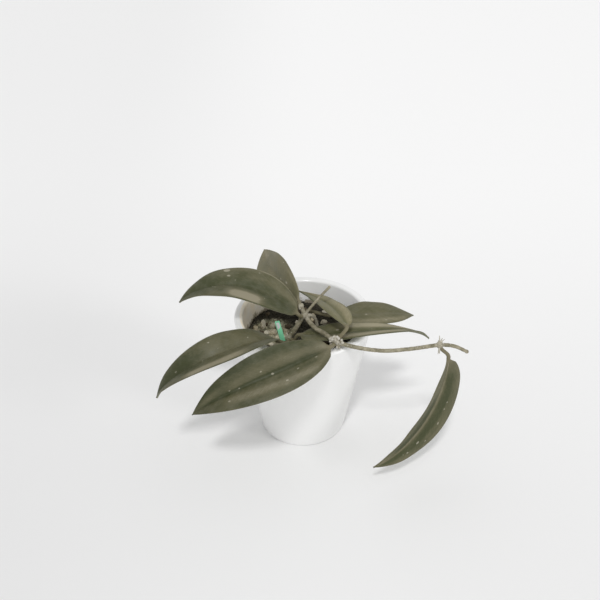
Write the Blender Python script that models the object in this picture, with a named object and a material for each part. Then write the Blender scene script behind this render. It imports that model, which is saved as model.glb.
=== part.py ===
"""Potted hoya: one trailing vine with long pointed leaves, rooted in a plain white glazed pot.

Metres, +Z up. The origin is the middle of the pot's base and the vine trails to +X.
The vine leaves the mix left of the middle, climbs over the pot and crosses the rim at the
front right. Every leaf is its own piece, whose stalk stops just short of its node on the vine.
"""

import math
import random

import bmesh
import bpy
from mathutils import Matrix, Vector

# Gap left between pieces that touch
CLEARANCE = 0.0003

# Pot
POT_HEIGHT = 0.115
POT_RIM_RADIUS = 0.0575
POT_BASE_RADIUS = 0.0365
POT_WALL = 0.0066
POT_FLOOR = 0.008
POT_LIP_ROUND = 0.0026
POT_FOOT_ROUND = 0.0016
POT_SIDES = 48
CORNER_STEPS = 4

# Potting mix
MIX_LEVEL = 0.0945
MIX_RINGS = (1.0, 0.86, 0.70, 0.54, 0.38, 0.22, 0.08)
MIX_MOUND = 0.0016
MIX_RIPPLE = 0.0007
MIX_RIPPLES_PER_METRE = 330
MIX_RIPPLE_SLANT = 90
CHIP_COUNT = 30
CHIP_SMALLEST = 0.0016
CHIP_LARGEST = 0.0030
CHIP_SUNK = 0.30
CHIP_SPACING = 0.0060
CHIP_BULGE = 1.3
CHIP_FREE_RADIUS = 0.0034
CHIP_ROUGHNESS = (0.80, 1.15)
CHIP_WIDE = (0.9, 1.2)
CHIP_LONG = (0.8, 1.1)
CHIP_HIGH = (0.6, 0.8)
CHIP_TILT = 0.5
CHIP_SEED = 11
# Larger chips: place on the mix, then half sizes to X, Y and Z
LARGE_CHIPS = (
    ((-0.0342, 0.0096), (0.0022, 0.0046, 0.0032)),
    ((-0.0261, 0.0082), (0.0026, 0.0036, 0.0028)),
    ((-0.0255, -0.0017), (0.0032, 0.0030, 0.0026)),
    ((-0.0219, -0.0101), (0.0020, 0.0036, 0.0024)),
    ((-0.0305, -0.0003), (0.0028, 0.0022, 0.0020)),
    ((-0.0146, -0.0003), (0.0020, 0.0032, 0.0022)),
    ((-0.0105, -0.0045), (0.0018, 0.0020, 0.0018)),
    ((0.0084, 0.0198), (0.0022, 0.0060, 0.0026)),
    ((0.0177, 0.0132), (0.0034, 0.0030, 0.0028)),
    ((0.0066, 0.0111), (0.0018, 0.0024, 0.0018)),
    ((-0.0405, 0.0060), (0.0022, 0.0026, 0.0018)),
)

# Plant label, a narrow strip that leans to the left
LABEL_TOP = (-0.0214, -0.0180, 0.1205)
LABEL_LENGTH = 0.036
LABEL_LEAN = math.radians(13)
LABEL_WIDTH = 0.0040
LABEL_THICKNESS = 0.0008
LABEL_CORNER = 0.0009

# Vine: nodes, and the route through them from the mix to the cut end
LOW_NODE = Vector((-0.0120, -0.0142, 0.1008))
MIDDLE_NODE = Vector((0.0010, -0.0140, 0.1235))
CROWN_NODE = Vector((-0.0020, -0.0125, 0.1320))
RIM_NODE = Vector((0.0259, -0.0472, 0.1215))
FAR_NODE = Vector((0.1060, -0.0500, 0.1208))
STEM_FOOT = Vector((-0.0145, -0.0130, 0.0660))
STEM_SURFACE = Vector((-0.0145, -0.0130, 0.0970))
VINE_ROUTE = (
    (STEM_FOOT, 0.0021),
    (STEM_SURFACE, 0.0021),
    (LOW_NODE, 0.0021),
    (Vector((-0.0056, -0.0143, 0.1120)), 0.0020),
    (MIDDLE_NODE, 0.0020),
    (Vector((0.0048, -0.0178, 0.1196)), 0.0018),
    (Vector((0.0100, -0.0258, 0.1190)), 0.0018),
    (Vector((0.0172, -0.0356, 0.1207)), 0.0018),
    (RIM_NODE, 0.0018),
    (Vector((0.0440, -0.0520, 0.1193)), 0.0016),
    (Vector((0.0630, -0.0550, 0.1190)), 0.0016),
    (Vector((0.0850, -0.0530, 0.1195)), 0.0016),
    (FAR_NODE, 0.0016),
    (Vector((0.1180, -0.0500, 0.1195)), 0.0015),
    (Vector((0.1280, -0.0500, 0.1144)), 0.0014),
)
VINE_SIDES = 10
ROUTE_STEPS = 4
KNOBS = (
    (LOW_NODE, 0.0027),
    (MIDDLE_NODE, 0.0031),
    (CROWN_NODE, 0.0024),
    (RIM_NODE, 0.0031),
    (FAR_NODE, 0.0027),
)
CROWN_STEM_RADIUS = 0.0018
STEM_HOLE_ROOM = 0.0005
STEM_HOLE_ABOVE = 0.02
STEM_HOLE_SIDES = 20

# Aerial roots: node, heading and rise of the bunch in degrees, count, length and radius
ROOT_BUNCHES = (
    (RIM_NODE, 305, 35, 8, 0.0060, 0.0010),
    (FAR_NODE, 75, 50, 3, 0.0080, 0.0006),
    (FAR_NODE, 240, -30, 2, 0.0078, 0.0006),
    (LOW_NODE, 120, 30, 2, 0.0070, 0.0008),
)
ROOT_SPREAD = 45
ROOT_TILT = 25
ROOT_LENGTHS = (0.75, 1.1)
ROOT_BEND = 0.6
ROOT_BEND_WIDTH = 0.85
ROOT_TIP_WIDTH = 0.55
ROOT_STALK_ANGLE = math.radians(52)
ROOT_FOOT = 0.0008
ROOT_SAG = 0.12
ROOT_SIDES = 6
ROOT_SEED = 5

# Old root that hangs from the middle node and stops just above the mix
OLD_ROOT = (
    (Vector((0.0015, -0.0142, 0.1234)), 0.0014),
    (Vector((0.0062, -0.0136, 0.1232)), 0.0015),
    (Vector((0.0096, -0.0126, 0.1190)), 0.0014),
    (Vector((0.0112, -0.0122, 0.1115)), 0.0013),
    (Vector((0.0116, -0.0120, 0.0984)), 0.0012),
)
OLD_ROOT_SIDES = 8
OLD_ROOT_STEPS = 3

# Side shoot that grows up from the middle node
SHOOT_LEAVE = Vector((0.50, 0.50, 0.70)).normalized()
SHOOT_TIP = Vector((0.0208, -0.0060, 0.1457))
SHOOT_BOW = 0.0006
SHOOT_RADII = (0.0012, 0.0010, 0.0011)

# Leaves. A blade starts at base, in metres. Its heading is measured from +X towards +Y and its
# rise from level, both in degrees; turn, arch and droop change them along its length. Roll and
# twist tip the blade about its midrib, and channel is how far the halves lift from it.
# Shoulder and taper shape the outline: how fast it widens from the stalk and narrows to the tip.
LEAVES = {
    "leaf_upper_left": dict(
        node=MIDDLE_NODE, leave=(-0.80, -0.60, 0.10), base=(-0.0042, -0.0186, 0.1276),
        heading=166, turn=14, rise=40, arch=-53, droop=-35, length=0.108, width=0.0369,
        roll=11, twist=-2, channel=13, shoulder=0.64, taper=0.93,
    ),
    "leaf_rear": dict(
        node=CROWN_NODE, leave=(-0.50, 0.85, 0.10), base=(-0.0036, -0.0078, 0.1324),
        heading=122, turn=-28, rise=16, arch=-97, droop=82, length=0.1034, width=0.0306,
        roll=48, twist=-2, channel=12, shoulder=0.70, taper=0.80,
    ),
    "leaf_lower_left": dict(
        node=LOW_NODE, leave=(-0.14, -0.98, -0.10), base=(-0.0213, -0.0289, 0.1091),
        heading=240, turn=-83, rise=39, arch=-109, droop=4, length=0.131, width=0.0310,
        roll=-7, twist=32, channel=23, shoulder=0.71, taper=0.95,
    ),
    "leaf_front": dict(
        node=RIM_NODE, leave=(-0.55, -0.80, 0.00), base=(0.0218, -0.0519, 0.1209),
        heading=217, turn=-41, rise=-4, arch=-13, droop=-27, length=0.125, width=0.0383,
        roll=35, twist=5, channel=19, shoulder=0.70, taper=0.97,
    ),
    "leaf_inner": dict(
        node=RIM_NODE, leave=(0.50, 0.40, 0.80), base=(0.0336, -0.0416, 0.1322),
        heading=103, turn=29, rise=0, arch=-38, droop=26, length=0.083, width=0.022,
        roll=-17, twist=13, channel=8, shoulder=0.61, taper=1.13,
    ),
    "leaf_upper_right": dict(
        node=MIDDLE_NODE, leave=(0.17, 0.98, 0.00), base=(0.0244, -0.0054, 0.1171),
        heading=-6, turn=41, rise=9, arch=-26, droop=-17, length=0.075, width=0.0286,
        roll=-7, twist=-3, channel=0, shoulder=0.74, taper=1.01,
    ),
    "leaf_lower_right": dict(
        node=LOW_NODE, leave=(0.80, -0.55, -0.20), base=(-0.0034, -0.0194, 0.1077),
        heading=-28, turn=71, rise=17, arch=-2, droop=-67, length=0.124, width=0.027,
        roll=-3, twist=28, channel=10, shoulder=0.58, taper=1.27,
    ),
    "leaf_hanging": dict(
        node=FAR_NODE, leave=(0.42, 0.05, -0.90), base=(0.1147, -0.0481, 0.1065),
        heading=218, turn=-9, rise=-88, arch=56, droop=28, length=0.119, width=0.0371,
        roll=98, twist=-14, channel=19, shoulder=0.65, taper=1.02,
    ),
}
STALK_RADIUS = 0.0016
STALK_STEPS = 5
STALK_PULL = 0.35
BLADE_STEPS = 22
BLADE_CROWDING = 1.3
BLADE_CREST = 0.0016
BLADE_EDGE = 0.0007
BLADE_CROWN = 0.16
BLADE_JOIN = 0.05
TIP_HALF_WIDTH = 0.0005
ACROSS = (-1.0, -0.68, -0.34, 0.0, 0.34, 0.68, 1.0)


def clear_scene():
    for found in list(bpy.data.objects):
        bpy.data.objects.remove(found, do_unlink=True)


def make_material(name, colour, roughness, metallic=0.0, coat=0.0):
    """A Principled material in one colour, with an optional clear coat for glaze."""
    made = bpy.data.materials.new(name)
    made.use_nodes = True
    shader = made.node_tree.nodes["Principled BSDF"]
    shader.inputs["Base Color"].default_value = (*colour, 1.0)
    shader.inputs["Roughness"].default_value = roughness
    shader.inputs["Metallic"].default_value = metallic
    shader.inputs["Coat Weight"].default_value = coat
    made.diffuse_color = (*colour, 1.0)
    return made


def add_object(name, mesh, material):
    made = bpy.data.objects.new(name, mesh)
    bpy.context.scene.collection.objects.link(made)
    mesh.materials.append(material)
    return made


def object_from(name, shape, material, sharp_angle=50):
    """Turns a bmesh of closed surfaces into an object, facing out and shaded smooth."""
    bmesh.ops.recalc_face_normals(shape, faces=shape.faces)
    mesh = bpy.data.meshes.new(name)
    shape.to_mesh(mesh)
    shape.free()
    mesh.shade_smooth()
    mesh.set_sharp_from_angle(angle=math.radians(sharp_angle))
    return add_object(name, mesh, material)


def hide_helper(helper):
    helper.hide_render = True
    helper.display_type = "WIRE"


def apply_modifiers(target):
    """Replaces the object's mesh by its evaluated one."""
    graph = bpy.context.evaluated_depsgraph_get()
    mesh = bpy.data.meshes.new_from_object(target.evaluated_get(graph))
    target.modifiers.clear()
    target.data = mesh


def join_repeats(target, repeats, label):
    """Fuses a list of overlapping objects into the target with one union, then removes them."""
    group = bpy.data.collections.new(label)
    bpy.context.scene.collection.children.link(group)
    for piece in repeats:
        bpy.context.scene.collection.objects.unlink(piece)
        group.objects.link(piece)
    union = target.modifiers.new("join " + label, "BOOLEAN")
    union.operation = "UNION"
    union.operand_type = "COLLECTION"
    union.collection = group
    union.solver = "EXACT"
    apply_modifiers(target)
    for piece in repeats:
        bpy.data.objects.remove(piece, do_unlink=True)
    bpy.data.collections.remove(group)


def cut_hole(target, cutter):
    """Cuts the target by a helper object, which stays out of the render."""
    hide_helper(cutter)
    cut = target.modifiers.new("cut " + cutter.name, "BOOLEAN")
    cut.operation = "DIFFERENCE"
    cut.object = cutter
    cut.solver = "EXACT"


# Pot


def corner(centre, radius, start, end):
    """Points of a rounded corner in the XZ plane, with angles in degrees from +X to +Z."""
    points = []
    for step in range(CORNER_STEPS + 1):
        angle = math.radians(start + (end - start) * step / CORNER_STEPS)
        points.append((centre[0] + radius * math.cos(angle), centre[1] + radius * math.sin(angle)))
    return points


def outer_radius(height):
    return POT_BASE_RADIUS + (POT_RIM_RADIUS - POT_BASE_RADIUS) * height / POT_HEIGHT


def inner_radius(height):
    return outer_radius(height) - POT_WALL


def pot_profile():
    """The wall's outline from the middle of the floor, up the inside, over the lip and down."""
    lip_height = POT_HEIGHT - POT_LIP_ROUND
    inner_lip = (inner_radius(lip_height) + POT_LIP_ROUND, lip_height)
    outer_lip = (POT_RIM_RADIUS - POT_LIP_ROUND, lip_height)
    foot = (outer_radius(POT_FOOT_ROUND) - POT_FOOT_ROUND, POT_FOOT_ROUND)
    floor_edge = inner_radius(POT_FLOOR)
    return [
        (0.0, POT_FLOOR),
        (floor_edge, POT_FLOOR),
        (inner_radius(POT_HEIGHT / 2), POT_HEIGHT / 2),
        *corner(inner_lip, POT_LIP_ROUND, 180, 90),
        *corner(outer_lip, POT_LIP_ROUND, 90, 0),
        (outer_radius(POT_HEIGHT / 2), POT_HEIGHT / 2),
        *corner(foot, POT_FOOT_ROUND, 0, -90),
        (0.0, 0.0),
    ]


def build_pot(material):
    """The white pot: the wall's outline turned about the upright axis by a Screw modifier."""
    shape = bmesh.new()
    corners = [shape.verts.new((across, 0.0, up)) for across, up in pot_profile()]
    for first, second in zip(corners, corners[1:]):
        shape.edges.new((first, second))
    mesh = bpy.data.meshes.new("pot")
    shape.to_mesh(mesh)
    shape.free()
    pot = add_object("pot", mesh, material)
    turn = pot.modifiers.new("turned wall", "SCREW")
    turn.steps = POT_SIDES
    turn.render_steps = POT_SIDES
    turn.use_merge_vertices = True
    turn.merge_threshold = 0.00001
    return pot


# Potting mix


def mix_height(across, along):
    """Height of the mix's surface: a low mound with small ripples."""
    reach = math.hypot(across, along) / inner_radius(MIX_LEVEL)
    slant = across * MIX_RIPPLE_SLANT
    ripple = math.sin(across * MIX_RIPPLES_PER_METRE) * math.cos(along * MIX_RIPPLES_PER_METRE + slant)
    return MIX_LEVEL + MIX_MOUND * (1 - reach**2) + MIX_RIPPLE * ripple


def mix_body(material):
    """The packed mix: a plug that follows the pot's inside, with an uneven top."""
    shape = bmesh.new()
    bottom = POT_FLOOR + CLEARANCE
    rings = [[]]
    for side in range(POT_SIDES):
        angle = math.tau * side / POT_SIDES
        reach = inner_radius(bottom) - CLEARANCE
        rings[0].append(shape.verts.new((reach * math.cos(angle), reach * math.sin(angle), bottom)))
    for share in MIX_RINGS:
        ring = []
        for side in range(POT_SIDES):
            angle = math.tau * side / POT_SIDES
            reach = share * (inner_radius(MIX_LEVEL - MIX_RIPPLE) - 2 * CLEARANCE)
            place = (reach * math.cos(angle), reach * math.sin(angle))
            ring.append(shape.verts.new((*place, mix_height(*place))))
        rings.append(ring)
    for lower, upper in zip(rings, rings[1:]):
        for side in range(POT_SIDES):
            after = (side + 1) % POT_SIDES
            shape.faces.new((lower[side], lower[after], upper[after], upper[side]))
    shape.faces.new(list(reversed(rings[0])))
    shape.faces.new(rings[-1])
    return object_from("potting_mix", shape, material)


def chip_lump(place, reach, turn, draw, material):
    """One rough chip, sunk a little into the mix: a ball pushed in and out, then squashed and turned."""
    shape = bmesh.new()
    bmesh.ops.create_icosphere(shape, subdivisions=1, radius=1)
    for point in shape.verts:
        point.co *= draw.uniform(*CHIP_ROUGHNESS)
    bmesh.ops.transform(shape, matrix=turn @ Matrix.Diagonal((*reach, 1)), verts=shape.verts)
    chip = object_from("chip", shape, material, sharp_angle=20)
    chip.location = (*place, mix_height(*place) + reach[2] * (1 - 2 * CHIP_SUNK))
    return chip


def chip_lumps(draw, material):
    """The small chips, each turned its own way, and the larger ones."""
    chips = []
    for place, size in chip_places(draw):
        reach = [size * draw.uniform(*share) for share in (CHIP_WIDE, CHIP_LONG, CHIP_HIGH)]
        turn = Matrix.Rotation(draw.uniform(0, math.tau), 4, "Z")
        tilt = Matrix.Rotation(draw.uniform(-CHIP_TILT, CHIP_TILT), 4, "X")
        chips.append(chip_lump(place, reach, turn @ tilt, draw, material))
    for place, reach in LARGE_CHIPS:
        chips.append(chip_lump(place, reach, Matrix.Identity(4), draw, material))
    return chips


def chip_places(draw):
    """Seeded places on the surface, kept apart from each other, the stem, the label and the wall."""
    kept_clear = [Vector((STEM_SURFACE.x, STEM_SURFACE.y)), label_point(MIX_LEVEL).to_2d()]
    places = []
    while len(places) < CHIP_COUNT:
        size = draw.uniform(CHIP_SMALLEST, CHIP_LARGEST)
        reach = (inner_radius(MIX_LEVEL) - size * CHIP_BULGE - CLEARANCE) * math.sqrt(draw.random())
        angle = draw.uniform(0, math.tau)
        place = Vector((reach * math.cos(angle), reach * math.sin(angle)))
        free = size * CHIP_BULGE + CHIP_FREE_RADIUS
        near_stem = any((place - spot).length < free for spot in kept_clear)
        crowded = any((place - other).length < CHIP_SPACING for other, _ in places)
        if not near_stem and not crowded:
            places.append((place, size))
    return places


def build_mix(mix_material, chip_material):
    """The mix with its pale chips fused in, and plain holes for the stem and the label."""
    mix = mix_body(mix_material)
    chips = chip_lumps(random.Random(CHIP_SEED), chip_material)
    bpy.context.view_layer.update()
    join_repeats(mix, chips, "chips")
    cut_hole(mix, stem_hole_cutter(mix_material))
    cut_hole(mix, label_solid("label_slot", CLEARANCE, mix_material))
    return mix


def stem_hole_cutter(material):
    """A straight round hole for the stem's foot, open at the top."""
    shape = bmesh.new()
    radius = VINE_ROUTE[0][1] + STEM_HOLE_ROOM
    bottom = STEM_FOOT.z - CLEARANCE
    top = MIX_LEVEL + STEM_HOLE_ABOVE
    bmesh.ops.create_cone(
        shape, cap_ends=True, segments=STEM_HOLE_SIDES, radius1=radius, radius2=radius, depth=top - bottom
    )
    place = Matrix.Translation((STEM_FOOT.x, STEM_FOOT.y, (top + bottom) / 2))
    bmesh.ops.transform(shape, matrix=place, verts=shape.verts)
    return object_from("stem_hole", shape, material)


# Plant label


def label_point(height):
    """The middle of the label's strip at a height."""
    drop = LABEL_TOP[2] - height
    return Vector((LABEL_TOP[0] + drop * math.tan(LABEL_LEAN), LABEL_TOP[1], height))


def label_solid(name, grow, material):
    """The strip with its top corners rounded off, made larger all round by grow for its slot."""
    half = LABEL_WIDTH / 2 + grow
    low = -LABEL_LENGTH - grow
    outline = [(-half, low), (half, low)]
    for side in (1, -1):
        centre = side * (half - LABEL_CORNER)
        for step in range(CORNER_STEPS + 1):
            angle = math.radians(90 * step / CORNER_STEPS)
            if side < 0:
                angle = math.radians(90) - angle
            across = centre + side * LABEL_CORNER * math.cos(angle)
            outline.append((across, grow - LABEL_CORNER + LABEL_CORNER * math.sin(angle)))
    shape = bmesh.new()
    depth = LABEL_THICKNESS / 2 + grow
    face = shape.faces.new([shape.verts.new((across, -depth, up)) for across, up in outline])
    moved = bmesh.ops.extrude_face_region(shape, geom=[face])["geom"]
    back = [found for found in moved if isinstance(found, bmesh.types.BMVert)]
    bmesh.ops.translate(shape, verts=back, vec=(0, 2 * depth, 0))
    place = Matrix.Translation(LABEL_TOP) @ Matrix.Rotation(-LABEL_LEAN, 4, "Y")
    bmesh.ops.transform(shape, matrix=place, verts=shape.verts)
    return object_from(name, shape, material)


# Vine and shoot


def smooth_route(route, steps):
    """Points and radii along a smooth curve through the route's own points."""
    points = [place for place, _ in route]
    radii = [radius for _, radius in route]
    padded = [2 * points[0] - points[1], *points, 2 * points[-1] - points[-2]]
    path = []
    for span in range(len(points) - 1):
        before, start, end, after = padded[span : span + 4]
        for step in range(steps):
            share = step / steps
            bend = (2 * before - 5 * start + 4 * end - after) * share**2
            swing = (3 * start - before - 3 * end + after) * share**3
            place = start + 0.5 * ((end - before) * share + bend + swing)
            path.append((place, radii[span] + (radii[span + 1] - radii[span]) * share))
    path.append((points[-1], radii[-1]))
    return path


def sweep(shape, path, sides):
    """Adds a closed round tube along the path to the bmesh."""
    rings = []
    side = None
    for index, (place, radius) in enumerate(path):
        before = path[max(index - 1, 0)][0]
        after = path[min(index + 1, len(path) - 1)][0]
        along = (after - before).normalized()
        side = along.orthogonal() if side is None else side - along * side.dot(along)
        side.normalize()
        other = along.cross(side)
        ring = []
        for step in range(sides):
            angle = math.tau * step / sides
            out = side * math.cos(angle) + other * math.sin(angle)
            ring.append(shape.verts.new(place + radius * out))
        rings.append(ring)
    for near, far in zip(rings, rings[1:]):
        for step in range(sides):
            after = (step + 1) % sides
            shape.faces.new((near[step], near[after], far[after], far[step]))
    shape.faces.new(list(reversed(rings[0])))
    shape.faces.new(rings[-1])


def tube_object(name, route, sides, material, steps=ROUTE_STEPS):
    shape = bmesh.new()
    sweep(shape, smooth_route(route, steps), sides)
    return object_from(name, shape, material)


def stand_off(node):
    """How far from a node's middle a stalk starts: the knob's radius and the gap to it."""
    return next(radius for place, radius in KNOBS if place == node) + CLEARANCE


def knob(centre, radius, material):
    """The swelling of a node."""
    shape = bmesh.new()
    bmesh.ops.create_icosphere(shape, subdivisions=2, radius=radius)
    bmesh.ops.translate(shape, verts=shape.verts, vec=centre)
    return object_from("knob", shape, material)


def direction(heading, rise):
    """Unit vector from a heading and a rise in degrees."""
    turn = math.radians(heading)
    up = math.radians(rise)
    return Vector((math.cos(up) * math.cos(turn), math.cos(up) * math.sin(turn), math.sin(up)))


def aerial_roots(material):
    """Short pegs that fan out from the nodes, their feet inside the knobs, clear of the stalks."""
    draw = random.Random(ROOT_SEED)
    roots = []
    for node, heading, rise, count, length, radius in ROOT_BUNCHES:
        stalks = [Vector(leaf["leave"]) for leaf in LEAVES.values() if leaf["node"] == node]
        grown = 0
        while grown < count:
            swing = draw.uniform(-ROOT_SPREAD, ROOT_SPREAD)
            way = direction(heading + swing, rise + draw.uniform(-ROOT_TILT, ROOT_TILT))
            if any(way.angle(stalk) < ROOT_STALK_ANGLE for stalk in stalks):
                continue
            reach = length * draw.uniform(*ROOT_LENGTHS)
            sag = Vector((0, 0, -ROOT_SAG * reach))
            route = (
                (node + way * ROOT_FOOT, radius),
                (node + way * reach * ROOT_BEND, radius * ROOT_BEND_WIDTH),
                (node + way * reach + sag, radius * ROOT_TIP_WIDTH),
            )
            roots.append(tube_object("root", route, ROOT_SIDES, material, steps=1))
            grown += 1
    return roots


def build_vine(material, root_material):
    """The whole vine, grown as one: stem, crown, trailing run, swollen nodes and aerial roots."""
    vine = tube_object("vine", VINE_ROUTE, VINE_SIDES, material)
    crown_route = ((MIDDLE_NODE, CROWN_STEM_RADIUS), (CROWN_NODE, CROWN_STEM_RADIUS))
    grown = [tube_object("crown", crown_route, VINE_SIDES, material, steps=1)]
    grown += [knob(node, radius, material) for node, radius in KNOBS]
    grown += aerial_roots(root_material)
    grown.append(
        tube_object("old_root", OLD_ROOT, OLD_ROOT_SIDES, root_material, steps=OLD_ROOT_STEPS)
    )
    join_repeats(vine, grown, "growth")
    return vine


def build_shoot(material):
    """The bare side shoot, which starts just off the middle node's knob."""
    start = MIDDLE_NODE + SHOOT_LEAVE * stand_off(MIDDLE_NODE)
    middle = start.lerp(SHOOT_TIP, 0.5) + Vector((0, 0, SHOOT_BOW))
    route = list(zip((start, middle, SHOOT_TIP), SHOOT_RADII))
    return tube_object("side_shoot", route, VINE_SIDES, material)


# Leaves


def half_width(leaf, share):
    """The blade's half width at a share of its length: widest a little before the middle."""
    shoulder = leaf["shoulder"]
    taper = leaf["taper"]
    widest = shoulder / (shoulder + taper)
    crest = widest**shoulder * (1 - widest) ** taper
    return leaf["width"] / 2 * share**shoulder * (1 - share) ** taper / crest


def blade_way(leaf, share):
    heading = leaf["heading"] + leaf["turn"] * share
    rise = leaf["rise"] + leaf["arch"] * share + leaf["droop"] * share**2
    return direction(heading, rise)


def blade_side(leaf, share):
    """The direction of the blade's right half, square to its midrib and tipped by its roll."""
    heading = math.radians(leaf["heading"] + leaf["turn"] * share)
    level = Vector((math.sin(heading), -math.cos(heading), 0))
    lift = level.cross(blade_way(leaf, share))
    roll = math.radians(leaf["roll"] + leaf["twist"] * share)
    return level * math.cos(roll) + lift * math.sin(roll)


def blade_path(leaf):
    """Places, directions and sides along the midrib, closer together near the stalk."""
    place = Vector(leaf["base"])
    before = 0.0
    stations = []
    for step in range(BLADE_STEPS + 1):
        share = (step / BLADE_STEPS) ** BLADE_CROWDING
        place = place + blade_way(leaf, (before + share) / 2) * leaf["length"] * (share - before)
        stations.append((share, place, blade_way(leaf, share), blade_side(leaf, share)))
        before = share
    return stations


def stalk_path(leaf):
    """The stalk's bend from just off the node's knob to the blade, as a cubic curve."""
    base = Vector(leaf["base"])
    leave = Vector(leaf["leave"]).normalized()
    start = leaf["node"] + leave * stand_off(leaf["node"])
    pull = (base - start).length * STALK_PULL
    first = start + leave * pull
    second = base - blade_way(leaf, 0) * pull
    stations = []
    for step in range(STALK_STEPS):
        share = step / STALK_STEPS
        left = 1 - share
        near = left**3 * start + 3 * left**2 * share * first
        place = near + 3 * left * share**2 * second + share**3 * base
        bend = left**2 * (first - start) + 2 * left * share * (second - first)
        slope = bend + share**2 * (base - second)
        stations.append((place, slope.normalized()))
    return stations


def stalk_ring():
    """Unit points round the stalk, in the same order as a blade's section."""
    count = len(ACROSS)
    top = [math.pi - (step + 0.5) * math.pi / count for step in range(count)]
    angles = top + [-angle for angle in reversed(top)]
    return [(math.cos(angle), math.sin(angle)) for angle in angles]


def blade_section(leaf, half):
    """Points across the blade: both halves lift from the midrib, crown over and thin to the edge."""
    lift = math.tan(math.radians(leaf["channel"])) + BLADE_CROWN
    middle = [half * (lift * abs(across) - BLADE_CROWN * across**2) for across in ACROSS]
    thick = [BLADE_EDGE + (BLADE_CREST - BLADE_EDGE) * (1 - across**2) for across in ACROSS]
    top = [(half * a, m + t / 2) for a, m, t in zip(ACROSS, middle, thick)]
    under = [(half * a, m - t / 2) for a, m, t in zip(ACROSS, middle, thick)]
    return top + list(reversed(under))


def leaf_rings(leaf):
    """Rings of points from the stalk's cut end to the leaf's tip."""
    stations = blade_path(leaf)
    side = stations[0][3]
    rings = []
    for place, along in reversed(stalk_path(leaf)):
        side = (side - along * side.dot(along)).normalized()
        up = side.cross(along)
        rings.append([place + STALK_RADIUS * (side * x + up * z) for x, z in stalk_ring()])
    rings.reverse()
    for share, place, along, side in stations:
        up = side.cross(along)
        half = max(half_width(leaf, share), TIP_HALF_WIDTH)
        flat = min(share / BLADE_JOIN, 1.0)
        flat = flat * flat * (3 - 2 * flat)
        ring = []
        for (round_x, round_z), (blade_x, blade_z) in zip(stalk_ring(), blade_section(leaf, half)):
            x = (1 - flat) * STALK_RADIUS * round_x + flat * blade_x
            z = (1 - flat) * STALK_RADIUS * round_z + flat * blade_z
            ring.append(place + side * x + up * z)
        rings.append(ring)
    return rings


def build_leaf(name, leaf, material):
    """One leaf: stalk and blade lofted as one body, with both faces split into triangles alike."""
    shape = bmesh.new()
    rings = [[shape.verts.new(point) for point in ring] for ring in leaf_rings(leaf)]
    count = 2 * len(ACROSS)
    for near, far in zip(rings, rings[1:]):
        for step in range(count):
            after = (step + 1) % count
            if step < len(ACROSS):
                shape.faces.new((near[step], far[step], far[after]))
                shape.faces.new((near[step], far[after], near[after]))
            else:
                shape.faces.new((near[step], far[step], near[after]))
                shape.faces.new((near[after], far[step], far[after]))
    shape.faces.new(rings[0])
    shape.faces.new(list(reversed(rings[-1])))
    return object_from(name, shape, material)


def main():
    clear_scene()
    glaze = make_material("white glaze", (0.86, 0.86, 0.84), 0.22, coat=0.5)
    soil = make_material("dark potting mix", (0.035, 0.028, 0.020), 0.95)
    pumice = make_material("pale chips", (0.55, 0.52, 0.46), 0.90)
    green_plastic = make_material("mint plastic", (0.16, 0.62, 0.34), 0.45)
    stem_skin = make_material("stem skin", (0.29, 0.26, 0.17), 0.60)
    root_skin = make_material("pale root", (0.62, 0.59, 0.52), 0.80)
    leaf_skin = make_material("leaf", (0.080, 0.087, 0.045), 0.42)

    build_pot(glaze)
    build_mix(soil, pumice)
    label_solid("plant_label", 0.0, green_plastic)
    build_vine(stem_skin, root_skin)
    build_shoot(stem_skin)
    for name, leaf in LEAVES.items():
        build_leaf(name, leaf, leaf_skin)


main()
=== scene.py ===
"""Looks of the potted hoya: glazed pot, crumbly mix, plastic label, woody vine and waxy leaves.

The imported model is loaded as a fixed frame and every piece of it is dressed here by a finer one
that keeps its place and form. Metres, +Z up, origin at the middle of the pot's underside.
"""

import math
import random

import bmesh
import bpy
import numpy as np
from bpy.props import FloatProperty, FloatVectorProperty, IntProperty, PointerProperty
from mathutils import Matrix, Vector, noise
from mathutils.kdtree import KDTree


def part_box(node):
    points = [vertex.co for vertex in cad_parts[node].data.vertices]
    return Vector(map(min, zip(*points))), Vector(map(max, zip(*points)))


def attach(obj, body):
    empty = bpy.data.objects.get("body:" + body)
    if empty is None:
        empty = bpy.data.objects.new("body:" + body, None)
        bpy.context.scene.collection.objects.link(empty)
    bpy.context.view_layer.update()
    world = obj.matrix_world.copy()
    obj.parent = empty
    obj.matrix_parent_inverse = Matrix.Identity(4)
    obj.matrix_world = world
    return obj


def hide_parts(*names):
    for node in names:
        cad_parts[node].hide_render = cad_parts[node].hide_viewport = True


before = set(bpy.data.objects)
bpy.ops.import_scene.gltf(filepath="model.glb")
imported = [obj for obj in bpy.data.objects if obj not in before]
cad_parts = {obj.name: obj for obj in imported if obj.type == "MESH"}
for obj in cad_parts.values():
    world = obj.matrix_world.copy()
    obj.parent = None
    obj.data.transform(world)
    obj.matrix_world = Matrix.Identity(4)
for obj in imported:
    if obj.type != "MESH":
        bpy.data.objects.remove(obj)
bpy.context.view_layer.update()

bl_info = {
    "name": "Potted Hoya",
    "version": (1, 0, 0),
    "blender": (4, 5, 0),
    "location": "View3D > Sidebar > Hoya",
    "description": "Builds a trailing hoya in a white glazed pot, piece by piece",
    "category": "Add Mesh",
}

POT_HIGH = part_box("pot")[1]
ROOT = "root"
# Air between neighbouring solids
GAP = 0.0003

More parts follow.
